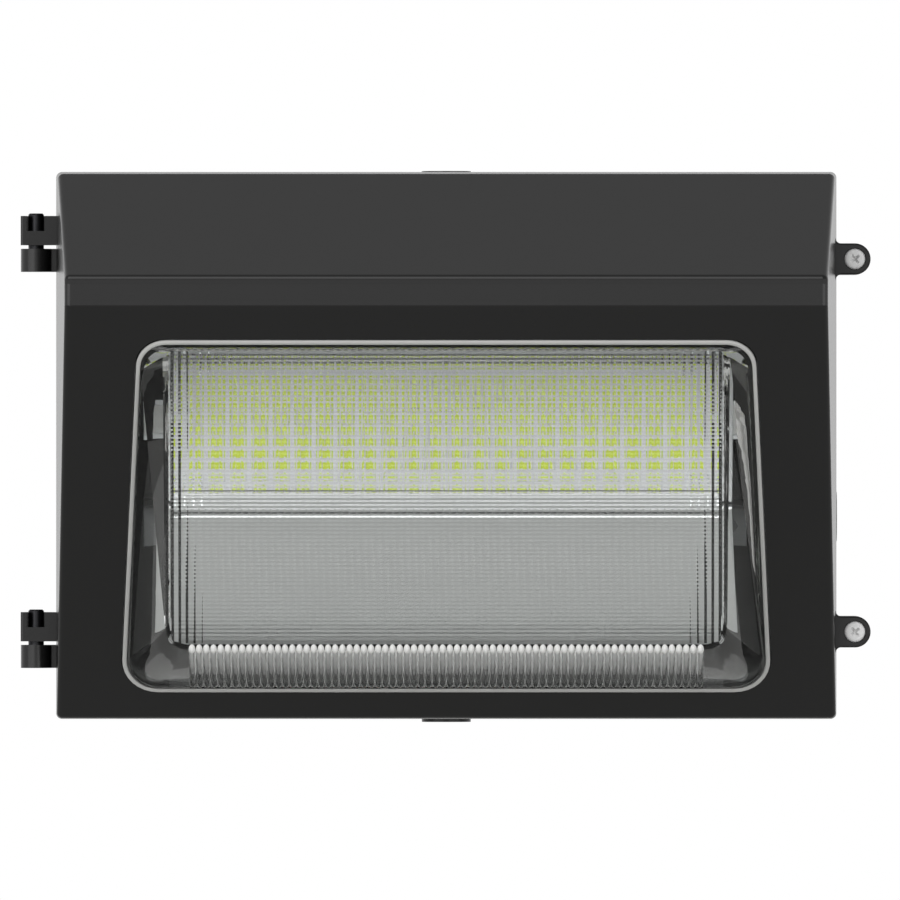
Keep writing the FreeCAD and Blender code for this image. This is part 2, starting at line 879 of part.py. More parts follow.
def front_cover():
    cavity = cover_form(cover_wall)
    rim = body_block(0, cover_back_y, cover_back_y - cover_rim_depth)
    rim = rim.cut(inner_block(rim_width, cover_back_y, cover_back_y - cover_rim_depth))
    shell = cover_outer().cut(cavity.cut(rim))
    added = [shell]
    added += [cover_knuckle(z) for z in hinge_tops]
    added += [cover_ear(z) for z in screw_centres]
    for a, b, _, _ in clip_layout():
        base = on_face(a, b, -cover_wall / 2)
        added.append(small_bar(base, face_out * -1, clip_boss_r, -flange_back - cover_wall / 2))
    cover = joined(added)
    cuts = [lens_prism(lens_opening_clearance, -2 * cover_wall, 2 * cover_wall)]
    for z in screw_centres:
        cuts += ear_bores(z)
    pin_bore_start = V(hinge_axis_x, hinge_y, -half_height)
    cuts.append(Part.makeCylinder(hinge_pin_r + hinge_running_clearance, body_height, pin_bore_start))
    for a, b, _, _ in clip_layout():
        top = on_face(a, b, flange_back)
        cuts.append(small_bar(top, face_out, clip_screw_r + fastener_clearance, clip_screw_length))
    return cover.cut(cuts)


# Glass lens

panel_tilt = math.radians(panel_tilt_deg)
panel_up = V(0, -math.sin(panel_tilt), math.cos(panel_tilt))
panel_out = V(0, -math.cos(panel_tilt), -math.sin(panel_tilt))
panel_top_y = face_origin.y + (brow_bottom_z - panel_top_z) * math.tan(face_angle) - panel_stand
panel_top = V(0, panel_top_y, panel_top_z)
panel_length = (panel_top_z - panel_bottom_z) / math.cos(panel_tilt)
panel_bottom = panel_top - panel_up * panel_length
prism_count = int((panel_length - 2 * glass) / prism_pitch)
lens_base_bottom = face_plane(lens_rim_proud)(V(0, up_slope(lens_bottom_z), 0))
shelf_up = unit(panel_bottom - lens_base_bottom)
shelf_out = V(0, -shelf_up.z, shelf_up.y)
shelf_length = (panel_bottom - lens_base_bottom).Length


def panel_loop(inset, depth):
    """Outline of the lens's front panel, moved inwards by inset and back by depth."""
    half = panel_half_width - inset
    corners = [(-half, -panel_length + inset), (half, -panel_length + inset), (half, -inset), (-half, -inset)]
    bottom_r = max(panel_bottom_corner_r - inset, panel_least_corner_r)
    top_r = max(panel_top_corner_r - inset, panel_least_corner_r)
    origin = panel_top - panel_out * depth

    def place(point):
        return origin + V(point.x, 0, 0) + panel_up * point.y

    return rounded_loop(corners, [bottom_r, bottom_r, top_r, top_r], lens_corner_steps, place)


def flute_cutter(start, up, out, length, count):
    """Solid over a surface whose underside leaves upright flutes, each with two flat flanks."""
    half = count * flute_pitch / 2

    def at(x, height):
        return start + V(x, 0, 0) + out * height

    points = [at(-half, flute_depth)]
    for i in range(2 * count + 1):
        height = -flute_skin if i % 2 else -flute_skin - flute_depth
        points.append(at(-half + i * flute_pitch / 2, height))
    points.append(at(half, flute_depth))
    return prism(Part.makePolygon(points + points[:1]), up * length)


def prism_cutter():
    """Saw-toothed bar that leaves level prisms on the inner side of the front panel."""
    start = panel_top - panel_out * glass - panel_up * (glass + prism_pitch) - V(prism_half_width, 0, 0)
    points = [start + panel_out * prism_depth]
    for i in range(prism_count):
        step = start - panel_up * (i * prism_pitch)
        points.append(step + panel_out * flute_skin)
        points.append(step - panel_up * (prism_pitch - prism_land) - panel_out * prism_depth)
    last = start - panel_up * (prism_count * prism_pitch)
    points.append(last + panel_out * flute_skin)
    points.append(last + panel_out * prism_depth)
    return prism(Part.makePolygon(points + points[:1]), V(2 * prism_half_width, 0, 0))


def glass_lens():
    """Domed glass: flange and tube in the cover, flat facets, flutes outside and prisms inside."""
    flange = faceted_solid(lens_loop(flange_width, flange_back), lens_loop(flange_width, flange_front))
    tube = faceted_solid(lens_loop(0.0, flange_back), lens_loop(0.0, lens_rim_proud))
    dome = faceted_solid(lens_loop(0.0, lens_rim_proud), panel_loop(0.0, 0.0))
    panel_start = panel_bottom + panel_up * ridge_band
    panel_flutes = flute_cutter(panel_start, panel_up, panel_out, panel_length, flute_count)
    shelf_start = lens_base_bottom + shelf_up * ridge_band
    shelf_run = shelf_length - 2 * ridge_band
    shelf_flutes = flute_cutter(shelf_start, shelf_up, shelf_out, shelf_run, bottom_flute_count)
    inner_tube = faceted_solid(lens_loop(-glass, flange_back), lens_loop(-glass, lens_rim_proud))
    inner_dome = faceted_solid(lens_loop(-glass, lens_rim_proud), panel_loop(glass, glass))
    hollow = inner_tube.fuse(inner_dome.cut(prism_cutter()))
    return joined([flange, tube, dome]).cut([panel_flutes, shelf_flutes, hollow])


def lens_gasket():
    outer = lens_prism(flange_width - lens_gasket_inset, flange_front, -cover_wall)
    return outer.cut(lens_prism(lens_opening_clearance + lens_gasket_inset, flange_front, -cover_wall))


def lens_clip(a, b, da, db):
    tail = clip_boss_r
    nose = clip_boss_r + clip_boss_gap + clip_grip
    half = clip_width / 2
    if da:
        low, high = sorted((a - da * tail, a + da * nose))
        corners = [(low, b - half), (high, b - half), (high, b + half), (low, b + half)]
    else:
        low, high = sorted((b - db * tail, b + db * nose))
        corners = [(a - half, low), (a + half, low), (a + half, high), (a - half, high)]
    back = face_plane(flange_back - clip_thickness)
    outline = Part.makePolygon([back(V(p, q, 0)) for p, q in corners + corners[:1]])
    plate = prism(outline, face_out * clip_thickness)
    under = on_face(a, b, flange_back - 2 * clip_thickness)
    return plate.cut(small_bar(under, face_out, clip_screw_r + fastener_clearance, 3 * clip_thickness))


def lens_clip_screw(a, b):
    seat = on_face(a, b, flange_back - clip_thickness)
    return plain_screw(
        seat, face_out * -1, clip_screw_r, clip_screw_length, clip_screw_head_r, clip_screw_head_height
    )


# Cover screws

def cover_screw(z):
    head = post(screw_x, z, screw_head_r, screw_seat_y, screw_seat_y - screw_head_height)
    crown = [e for e in head.Edges if abs(e.CenterOfMass.y - screw_seat_y + screw_head_height) < same_place]
    head = head.makeChamfer(screw_head_round, crown)
    shank = post(screw_x, z, screw_shank_r, seam_y + screw_engagement, screw_seat_y)
    neck_back = cover_back_y - retainer_rest_gap
    neck_front = neck_back - retainer_thickness - retainer_running_clearance * 2
    sleeve = post(screw_x, z, screw_shank_r + cut_over, neck_back, neck_front)
    neck = sleeve.cut(post(screw_x, z, retainer_neck_r, neck_back, neck_front))
    screw = head.fuse(shank).cut(neck)
    front_y = screw_seat_y - screw_head_height
    arms = []
    for half_x, half_z in (
        (cross_recess_span / 2, cross_recess_width / 2),
        (cross_recess_width / 2, cross_recess_span / 2),
    ):
        arms.append(
            box(
                screw_x - half_x,
                screw_x + half_x,
                front_y - cut_over,
                front_y + cross_recess_depth,
                z - half_z,
                z + half_z,
            )
        )
    return screw.cut(arms[0].fuse(arms[1]))


def retaining_ring(z):
    back_y = cover_back_y - retainer_rest_gap - retainer_running_clearance
    ring = post(screw_x, z, retainer_r, back_y, back_y - retainer_thickness)
    return ring.cut(
        post(screw_x, z, retainer_neck_r + retainer_running_clearance, back_y, back_y - retainer_thickness)
    )


# LED module

carrier_front_y = board_front_y + board_thickness


def led_carrier():
    """Hat-section plate: two feet on the posts, two webs and the face that carries the board."""
    foot_y = carrier_foot_y
    face_y = carrier_front_y
    path = [
        (foot_y, carrier_bottom_z - carrier_foot),
        (foot_y, carrier_bottom_z),
        (face_y + carrier_sheet, carrier_bottom_z),
        (face_y + carrier_sheet, carrier_top_z),
        (foot_y, carrier_top_z),
        (foot_y, carrier_top_z + carrier_foot),
    ]
    carrier = bent_sheet(path, carrier_sheet, carrier_bend_r, board_half_width)
    for side in (-1, 1):
        tab_root_x = side * (board_half_width - carrier_tab_lap)
        low, high = sorted((tab_root_x, side * (board_half_width + carrier_tab_width)))
        carrier = carrier.fuse(
            box(
                low,
                high,
                face_y,
                face_y + carrier_sheet,
                connector_z - carrier_tab_height / 2,
                connector_z + carrier_tab_height / 2,
            )
        )
    foot_hole_r = small_screw_r + fastener_clearance
    face_hole_r = board_screw_r + fastener_clearance
    behind = face_y + 2 * carrier_sheet
    holes = []
    for x, z in carrier_post_points:
        holes.append(small_post(x, z, foot_hole_r, foot_y + cut_over, foot_y - 2 * carrier_sheet))
    for x, z in board_screw_points():
        holes.append(small_post(x, z, face_hole_r, behind, face_y - cut_over))
    for seat in reflector_screw_seats():
        holes.append(small_bar(seat, V(0, 0, 1), face_hole_r, carrier_sheet))
    for side in (-1, 1):
        lead_hole_r = (lead_r + fastener_clearance) / math.cos(math.pi / small_sides)
        holes.append(small_post(side * connector_x, connector_z, lead_hole_r, behind, face_y - cut_over))
    return carrier.cut(holes)


def board_screw_points():
    return [
        (x, z)
        for x in (-board_screw_x, board_screw_x)
        for z in (board_top_z - board_screw_margin, board_bottom_z + board_screw_margin)
    ]


def led_board():
    board = box(
        -board_half_width, board_half_width, board_front_y, carrier_front_y, board_bottom_z, board_top_z
    )
    holes = []
    for x, z in board_screw_points():
        holes.append(small_post(x, z, board_screw_r + fastener_clearance, carrier_front_y, board_front_y))
    return board.cut(holes)


def led_row_strips():
    """Rows of LED packages; the packages of a row stand so close that each row is one strip here."""
    half_row = ((led_columns - 1) * led_pitch_x + led_width) / 2
    strips = []
    for row in range(led_rows):
        z = led_centre_z + (row - (led_rows - 1) / 2) * led_pitch_z
        front_y = board_front_y - led_thickness
        low_z = z - led_height / 2
        strips.append(box(-half_row, half_row, front_y, board_front_y, low_z, low_z + led_height))
    return strips


def lead_connector(side):
    front_y = carrier_front_y - connector_depth
    x_low = side * connector_x - connector_width / 2
    z_low = connector_z - connector_height / 2
    block = box(x_low, x_low + connector_width, front_y, carrier_front_y, z_low, z_low + connector_height)
    holes = []
    for step in (-1, 1):
        z = connector_z + step * connector_height / 4
        port_end_y = front_y + connector_port_depth
        holes.append(small_post(side * connector_x, z, connector_port_r, port_end_y, front_y))
    return block.cut(holes)


# Reflector

def reflector_top():
    """Where the reflector's lap meets the underside of the carrier's lower web."""
    return carrier_bottom_z - carrier_sheet


def reflector_screw_seats():
    middle_y = carrier_front_y + carrier_sheet + carrier_bend_r + reflector_lap / 2
    return [V(side * reflector_screw_x, middle_y, reflector_top()) for side in (-1, 1)]


def reflector():
    top_z = reflector_top()
    path = [
        (carrier_front_y + carrier_sheet + carrier_bend_r + reflector_lap, top_z - reflector_sheet),
        (carrier_front_y, top_z - reflector_sheet),
        (reflector_bottom_y, reflector_bottom_z),
        (reflector_bottom_y + reflector_return, reflector_bottom_z),
    ]
    sheet = bent_sheet(path[::-1], reflector_sheet, reflector_bend_r, board_half_width)
    holes = []
    for seat in reflector_screw_seats():
        start = seat - V(0, 0, reflector_sheet)
        holes.append(small_bar(start, V(0, 0, 1), board_screw_r + fastener_clearance, reflector_sheet))
    return sheet.cut(holes)


# Driver

def driver_case():
    front_y = driver_back_y - driver_height
    half = driver_length / 2
    corners = [
        (driver_back_y, driver_z - driver_width / 2),
        (driver_back_y, driver_z + driver_width / 2),
        (front_y, driver_z + driver_width / 2),
        (front_y, driver_z - driver_width / 2),
    ]
    case = prism(rounded_wire(corners, [driver_corner_r] * 4, side_plane(-half)), V(driver_length, 0, 0))
    grooves = []
    for i in range(driver_rib_count):
        z = driver_z + (i - (driver_rib_count - 1) / 2) * driver_rib_pitch
        grooves.append(
            box(
                -half,
                half,
                front_y - cut_over,
                front_y + driver_rib_depth,
                z - driver_rib_width / 2,
                z + driver_rib_width / 2,
            )
        )
    return case.cut(grooves)


def driver_end_cap(side):
    """End cap with the foot that takes the two screws."""
    inner_x = side * driver_length / 2
    outer_x = side * driver_end_x
    low, high = sorted((inner_x, outer_x))
    cap = box(
        low,
        high,
        driver_back_y - driver_height,
        driver_back_y,
        driver_z - driver_width / 2,
        driver_z + driver_width / 2,
    )
    foot_low, foot_high = sorted((outer_x - side * driver_foot_lap, outer_x + side * driver_foot_length))
    foot = box(
        foot_low,
        foot_high,
        driver_back_y - driver_foot_thickness,
        driver_back_y,
        driver_z - driver_width / 2,
        driver_z + driver_width / 2,
    )
    hole_r = small_screw_r + fastener_clearance
    foot_front_y = driver_back_y - driver_foot_thickness
    holes = [small_post(x, z, hole_r, driver_back_y, foot_front_y) for x, z in driver_screw_points]
    return cap.fuse(foot).cut(holes)


# Wiring

def board_leads():
    """Lead to each board connector, entering it from behind; the points are chosen by hand."""
    start_y = driver_back_y - driver_height / 2
    enter_y = carrier_front_y
    right = [
        V(driver_end_x, start_y, output_lead_z),
        V(driver_end_x + right_lead_share * lead_room, start_y, output_lead_z),
        V(
            driver_end_x + right_lead_share * lead_room + right_lead_bow,
            start_y - right_lead_forward,
            connector_z + right_lead_lift,
        ),
        V(connector_x, enter_y + right_lead_entry, connector_z),
        V(connector_x, enter_y, connector_z),
    ]
    z_low = output_lead_z - output_lead_spacing
    left = [
        V(driver_end_x, start_y, z_low),
        V(driver_end_x + left_lead_share * lead_room, start_y, z_low),
        V(left_lead_first_x, start_y - left_lead_first_forward, connector_z + left_lead_lift),
        V(left_lead_second_x, start_y - left_lead_second_forward, connector_z + left_lead_lift),
        V(-connector_x, enter_y + left_lead_entry, connector_z),
        V(-connector_x, enter_y, connector_z),
    ]
    return [lead(right, lead_r), lead(left, lead_r)]


def supply_lead_routes():
    """Driver supply leads and the ground lead, each ending in the mouth of its wire connector."""
    start_y = driver_back_y - driver_height / 2
    x0 = -driver_end_x
    z_low = output_lead_z - supply_lead_spacing / 2
    z_high = output_lead_z + supply_lead_spacing / 2
    line = [
        V(x0, start_y, z_low),
        V(x0 - line_lead_share * lead_room, start_y, z_low),
        V(
            x0 - line_lead_share * lead_room - line_lead_bow,
            start_y - line_lead_first_forward,
            line_lead_first_rise - half_height,
        ),
        V(line_lead_second_x, start_y - line_lead_second_forward, line_lead_second_rise - half_height),
        V(line_lead_end_x, start_y, supply_end_z),
    ]
    neutral = [
        V(x0, start_y, z_high),
        V(x0 - neutral_lead_share * lead_room, start_y, z_high),
        V(
            x0 - neutral_lead_share * lead_room - neutral_lead_bow,
            start_y - neutral_lead_first_forward,
            neutral_lead_first_rise - half_height,
        ),
        V(
            neutral_lead_second_x,
            start_y - neutral_lead_second_forward,
            neutral_lead_second_rise - half_height,
        ),
        V(neutral_lead_end_x, start_y - neutral_lead_end_forward, supply_end_z),
    ]
    ground_y = -back_wall - ground_boss_height - ground_terminal_thickness - lead_r
    ground = [
        V(ground_x + ground_terminal_r - lead_crimp, ground_y, ground_z),
        V(ground_x + ground_lead_first_run, ground_y, ground_z + ground_lead_first_lift),
        V(ground_x + ground_lead_second_run, start_y, ground_z + ground_lead_second_lift),
        V(ground_x + ground_lead_end_run, start_y, supply_end_z),
    ]
    return [line, neutral, ground]


def wire_connector(tip, onward):
    """Twist-on connector: an eight-sided cone whose open end takes the lead."""
    mouth = tip - onward * nut_cover
    ends = [
        regular_outline(mouth, onward, nut_r, small_sides),
        regular_outline(mouth + onward * nut_length, onward, nut_tip_r, small_sides),
    ]
    cone = Part.makeLoft(ends, True, True)
    bore_r = (lead_r + nut_fit) / math.cos(math.pi / lead_sides)
    return cone.cut(small_bar(mouth, onward, bore_r, nut_cover, lead_sides))


def ground_terminal():
    """Ring terminal under the ground screw."""
    face = -back_wall - ground_boss_height
    ring = post(ground_x, ground_z, ground_terminal_r, face, face - ground_terminal_thickness)
    hole = small_post(
        ground_x, ground_z, small_screw_r + fastener_clearance, face, face - ground_terminal_thickness
    )
    return ring.cut(hole)


# Every node

os.makedirs("parts", exist_ok=True)
save(rear_housing(), "rear_housing")
for node, centre, outward, proud in conduit_plugs_layout():
    save(conduit_plug(centre, outward, proud), node)
save(door_gasket(), "door_gasket")
save(Part.makeCompound([hinge_pin(z) for z in hinge_tops]), "hinge_pins")

save(front_cover(), "front_cover")
save(glass_lens(), "glass_lens")
save(lens_gasket(), "lens_gasket")
save(Part.makeCompound([lens_clip(*place) for place in clip_layout()]), "lens_clips")
save(Part.makeCompound([lens_clip_screw(a, b) for a, b, _, _ in clip_layout()]), "lens_clip_screws")

for name, z in (("upper", screw_z), ("lower", -screw_z)):
    save(cover_screw(z), "cover_screw_" + name)
    save(retaining_ring(z), "retaining_ring_" + name)

save(led_carrier(), "led_carrier")
carrier_screw_seat_y = carrier_foot_y - carrier_sheet
carrier_screws = [
    plain_screw(
        V(x, carrier_screw_seat_y, z),
        V(0, -1, 0),
        small_screw_r,
        small_screw_length,
        small_screw_head_r,
        small_screw_head_height,
    )
    for x, z in carrier_post_points
]
save(Part.makeCompound(carrier_screws), "carrier_screws")
save(led_board(), "led_board")
save(Part.makeCompound(led_row_strips()), "led_rows")
board_screws = [
    plain_screw(
        V(x, board_front_y, z),
        V(0, -1, 0),
        board_screw_r,
        board_thickness + carrier_sheet,
        board_screw_head_r,
        board_screw_head_height,
    )
    for x, z in board_screw_points()
]
save(Part.makeCompound(board_screws), "board_screws")
save(Part.makeCompound([lead_connector(side) for side in (-1, 1)]), "board_connectors")
save(reflector(), "reflector")
reflector_screws = [
    plain_screw(
        seat - V(0, 0, reflector_sheet),
        V(0, 0, -1),
        board_screw_r,
        reflector_sheet + carrier_sheet,
        board_screw_head_r,
        board_screw_head_height,
    )
    for seat in reflector_screw_seats()
]
save(Part.makeCompound(reflector_screws), "reflector_screws")

save(driver_case(), "driver_case")
save(Part.makeCompound([driver_end_cap(side) for side in (-1, 1)]), "driver_end_caps")
driver_screws = [
    plain_screw(
        V(x, driver_back_y - driver_foot_thickness, z),
        V(0, -1, 0),
        small_screw_r,
        driver_foot_thickness + driver_pad_height,
        small_screw_head_r,
        small_screw_head_height,
    )
    for x, z in driver_screw_points
]
save(Part.makeCompound(driver_screws), "driver_screws")

save(Part.makeCompound(board_leads()), "board_leads")
supply_routes = supply_lead_routes()
for node, route in zip(("supply_lead_line", "supply_lead_neutral", "ground_lead"), supply_routes):
    save(lead(route, lead_r), node)
save(
    Part.makeCompound([wire_connector(route[-1], unit(route[-1] - route[-2])) for route in supply_routes]),
    "wire_connectors",
)
save(ground_terminal(), "ground_terminal")
ground_screw_seat = V(ground_x, -back_wall - ground_boss_height - ground_terminal_thickness, ground_z)
save(
    plain_screw(
        ground_screw_seat,
        V(0, -1, 0),
        small_screw_r,
        ground_terminal_thickness + ground_boss_height - ground_screw_end_gap,
        small_screw_head_r,
        small_screw_head_height,
    ),
    "ground_screw",
)
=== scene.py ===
import math

import bpy
from mathutils import Matrix, Vector


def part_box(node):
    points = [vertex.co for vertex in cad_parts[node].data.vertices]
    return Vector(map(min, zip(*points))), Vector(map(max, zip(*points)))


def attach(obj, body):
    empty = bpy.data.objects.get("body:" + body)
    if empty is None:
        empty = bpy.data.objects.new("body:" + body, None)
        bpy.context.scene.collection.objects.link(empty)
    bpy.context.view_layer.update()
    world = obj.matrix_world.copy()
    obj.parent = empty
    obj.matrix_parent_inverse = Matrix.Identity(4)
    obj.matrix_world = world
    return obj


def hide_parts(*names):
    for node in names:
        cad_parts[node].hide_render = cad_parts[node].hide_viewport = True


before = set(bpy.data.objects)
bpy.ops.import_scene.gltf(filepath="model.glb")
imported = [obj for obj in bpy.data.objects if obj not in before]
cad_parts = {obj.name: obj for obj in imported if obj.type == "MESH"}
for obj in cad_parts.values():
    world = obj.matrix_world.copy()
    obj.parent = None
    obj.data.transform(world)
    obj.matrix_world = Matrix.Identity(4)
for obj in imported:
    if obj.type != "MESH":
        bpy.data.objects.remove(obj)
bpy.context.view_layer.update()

bl_info = {
    "name": "Wall Pack Light",
    "version": (1, 0, 0),
    "blender": (4, 5, 0),
    "location": "View3D > Sidebar > Wall Pack",
    "description": "Finishes and fine pieces of an outdoor wall pack light",
    "category": "Add Mesh",
}

MM = 0.001
GLASS_IOR = 1.47
WHITE_LEVEL = 1.0
SENSOR_WIDTH = 36.0
CLIP_MARGIN = 10
FLOOR_SIZE = 16.0


# Sizes and colours that a user would change

class WallPackStage(bpy.types.PropertyGroup):
    view_width: bpy.props.FloatProperty(
        name="View width", description="Width of the picture at the light",
        default=381.8 * MM, unit="LENGTH",
    )
    view_x: bpy.props.FloatProperty(
        name="View centre X", description="Middle of the picture, left to right",
        default=1.57 * MM, unit="LENGTH",
    )
    view_z: bpy.props.FloatProperty(
        name="View centre Z", description="Middle of the picture, up and down",
        default=-1.95 * MM, unit="LENGTH",
    )
    lens_mm: bpy.props.FloatProperty(name="Lens", description="Focal length in millimetres", default=1200.0)
    floor_drop: bpy.props.FloatProperty(
        name="Floor drop", description="Floor below the light's middle", default=0.6, unit="LENGTH"
    )


class WallPackCoat(bpy.types.PropertyGroup):
    orange_peel_mm: bpy.props.FloatProperty(
        name="Orange peel", description="Width of the coat's ripples in millimetres", default=1.2
    )


class WallPackLedModule(bpy.types.PropertyGroup):
    columns: bpy.props.IntProperty(name="Columns", description="LED packages in a row", default=49)
    rows: bpy.props.IntProperty(name="Rows", description="Rows of LED packages", default=10)
    pitch_x: bpy.props.FloatProperty(
        name="Column pitch", description="Distance between columns", default=4.5 * MM, unit="LENGTH"
    )
    pitch_z: bpy.props.FloatProperty(
        name="Row pitch", description="Distance between rows", default=5.05 * MM, unit="LENGTH"
    )
    width: bpy.props.FloatProperty(
        name="Package width", description="Width of a package", default=2.8 * MM, unit="LENGTH"
    )
    height: bpy.props.FloatProperty(
        name="Package height", description="Height of a package", default=3.5 * MM, unit="LENGTH"
    )


class WallPackScrews(bpy.types.PropertyGroup):
    head_height: bpy.props.FloatProperty(
        name="Head height", description="Height of a cover screw's head", default=2.9 * MM, unit="LENGTH"
    )
    crown: bpy.props.FloatProperty(
        name="Crown", description="Height of the head's rounded edge", default=1.3 * MM, unit="LENGTH"
    )
    shank: bpy.props.FloatProperty(
        name="Shank radius", description="Radius of the shank", default=2.5 * MM, unit="LENGTH"
    )
    neck: bpy.props.FloatProperty(
        name="Neck radius", description="Radius under the retaining ring", default=1.9 * MM, unit="LENGTH"
    )
    recess_span: bpy.props.FloatProperty(
        name="Recess span", description="Length of the cross recess", default=5.2 * MM, unit="LENGTH"
    )
    recess_width: bpy.props.FloatProperty(
        name="Recess width", description="Width of a recess arm", default=1.2 * MM, unit="LENGTH"
    )
    recess_depth: bpy.props.FloatProperty(
        name="Recess depth", description="Depth of the cross recess", default=1.9 * MM, unit="LENGTH"
    )
    recess_turn: bpy.props.FloatProperty(
        name="Recess turn", description="Turn of the cross in degrees", default=38.0
    )


class WallPackLens(bpy.types.PropertyGroup):
    flute_pitch: bpy.props.FloatProperty(
        name="Flute pitch", description="Distance between flutes", default=3.02 * MM, unit="LENGTH"
    )
    flute_height: bpy.props.FloatProperty(
        name="Flute height", description="Crest to valley of a flute", default=0.45 * MM, unit="LENGTH"
    )
    prism_pitch: bpy.props.FloatProperty(
        name="Prism pitch", description="Distance between the inner prisms", default=1.7 * MM, unit="LENGTH"
    )
    prism_height: bpy.props.FloatProperty(
        name="Prism height", description="Depth of an inner prism", default=0.28 * MM, unit="LENGTH"
    )
    side_prisms: bpy.props.IntProperty(
        name="Side prisms", description="Prisms on the inside of each side wall", default=76
    )
    edge_round: bpy.props.FloatProperty(
        name="Edge round", description="Rounding of the panel's edge", default=1.4 * MM, unit="LENGTH"
    )


# Shared tools

def linear(hex_code):
    """sRGB hex value to linear colour."""
    channels = [int(hex_code[i:i + 2], 16) / 255 for i in (1, 3, 5)]
    return [c / 12.92 if c <= 0.04045 else ((c + 0.055) / 1.055) ** 2.4 for c in channels] + [1.0]


def new_material(name):
    """Empty material with a Principled shader, its node tree and the shader."""
    material = bpy.data.materials.new(name)
    material.use_nodes = True
    return material, material.node_tree, material.node_tree.nodes["Principled BSDF"]


def add_node(tree, kind, settings=None, inputs=None, links=None):
    """Adds a node, sets its properties and inputs, and links other nodes' outputs to its inputs."""
    node = tree.nodes.new(kind)
    for key, value in (settings or {}).items():
        setattr(node, key, value)
    for key, value in (inputs or {}).items():
        node.inputs[key].default_value = value
    for key, socket in (links or {}).items():
        tree.links.new(socket, node.inputs[key])
    return node


def coat_nodes(material, *nodes):
    """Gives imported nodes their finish."""
    for node in nodes:
        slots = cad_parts[node].data.materials
        slots.clear()
        slots.append(material)


def colour_patches(tree, coordinates, scale, low, high):
    """Soft patches between two colours."""
    noise = add_node(
        tree, "ShaderNodeTexNoise", None, {"Scale": scale, "Detail": 3.0}, {"Vector": coordinates}
    )
    ramp = add_node(tree, "ShaderNodeValToRGB", None, None, {"Fac": noise.outputs["Fac"]})
    ramp.color_ramp.elements[0].color = linear(low)
    ramp.color_ramp.elements[1].color = linear(high)
    return ramp.outputs["Color"]


def ripple_bump(tree, coordinates, pitch_mm, depth_mm, shader):
    """Fine bump whose bumps are about pitch_mm wide."""
    noise = add_node(
        tree, "ShaderNodeTexNoise", None,
        {"Scale": 1 / (pitch_mm * MM), "Detail": 2.0}, {"Vector": coordinates},
    )
    bump = add_node(
        tree, "ShaderNodeBump", None,
        {"Strength": 1.0, "Distance": depth_mm * MM}, {"Height": noise.outputs["Fac"]},
    )
    tree.links.new(bump.outputs["Normal"], shader.inputs["Normal"])


def patchy_material(name, scale, low, high, values, ripple=None):
    """Material whose colour drifts softly between two shades.

    Values are inputs of its shader. A ripple is the pitch and depth of a fine bump in millimetres.
    """
    material, tree, shader = new_material(name)
    place = add_node(tree, "ShaderNodeTexCoord").outputs["Object"]
    tree.links.new(colour_patches(tree, place, scale, low, high), shader.inputs["Base Color"])
    for key, value in values.items():
        shader.inputs[key].default_value = value
    if ripple:
        ripple_bump(tree, place, ripple[0], ripple[1], shader)
    return material


def math_node(tree, operation, first, second=None):
    """Result of one calculation on one or two outputs."""
    node = add_node(tree, "ShaderNodeMath", {"operation": operation}, None, {0: first})
    if second is not None:
        tree.links.new(second, node.inputs[1])
    return node.outputs["Value"]


def map_range(tree, value, low, high, low_out, high_out, interpolation="LINEAR"):
    """Result of moving a value from one range to another, held within it."""
    node = add_node(
        tree, "ShaderNodeMapRange", {"interpolation_type": interpolation},
        {"From Min": low, "From Max": high, "To Min": low_out, "To Max": high_out}, {"Value": value},
    )
    return node.outputs["Result"]


def soft_lamp(tree, direction, towards, edge, core, strength):
    """Round light in the world that fades from core to edge, both as cosines of the angle off its middle."""
    aim = add_node(
        tree, "ShaderNodeVectorMath", {"operation": "DOT_PRODUCT"},
        {1: Vector(towards).normalized()}, {0: direction},
    )
    return map_range(tree, aim.outputs["Value"], edge, core, 0.0, strength, "SMOOTHSTEP")


def start_clean():
    """Leaves nothing selected and object mode on."""
    if bpy.context.mode != "OBJECT":
        bpy.ops.object.mode_set(mode="OBJECT")
    bpy.ops.object.select_all(action="DESELECT")


def pick_up(piece):
    """Selects one piece, in object mode, and makes it active."""
    start_clean()
    piece.select_set(True)
    bpy.context.view_layer.objects.active = piece


def settle(piece):
    """Puts a piece's place, turn and scale into its mesh."""
    pick_up(piece)
    bpy.ops.object.transform_apply(location=True, rotation=True, scale=True)


def choose(piece, test, kind="VERT"):
    """In edit mode, selects the vertices, edges or faces of a mesh that pass a test, and nothing else."""
    pick_up(piece)
    bpy.ops.object.mode_set(mode="EDIT")
    bpy.ops.mesh.select_mode(type=kind)
    bpy.ops.mesh.select_all(action="DESELECT")
    bpy.ops.object.mode_set(mode="OBJECT")
    mesh = piece.data
    for item in {"VERT": mesh.vertices, "EDGE": mesh.edges, "FACE": mesh.polygons}[kind]:
        item.select = test(item)
    bpy.ops.object.mode_set(mode="EDIT")


def finish_piece(piece, name, body, smooth_deg):
    """Smooths a finished piece, names it and hangs it on its body."""
    pick_up(piece)
    bpy.ops.object.shade_smooth_by_angle(angle=math.radians(smooth_deg))
    piece.name = name
    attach(piece, body)


def apply_modifiers(piece):
    """Works every modifier of a piece into its mesh."""
    pick_up(piece)
    for modifier in list(piece.modifiers):
        bpy.ops.object.modifier_apply(modifier=modifier.name)


def repeat(piece, count, step):
    """Repeats a piece in one mesh, each copy moved on by step."""
    array = piece.modifiers.new("Repeat", "ARRAY")
    array.count = count
    array.use_relative_offset = False
    array.use_constant_offset = True
    array.constant_offset_displace = step
    apply_modifiers(piece)


def outward_normals(piece):
    """Turns every face of a closed piece outwards."""
    choose(piece, lambda item: True, "FACE")
    bpy.ops.mesh.normals_make_consistent(inside=False)
    start_clean()


# Finishes

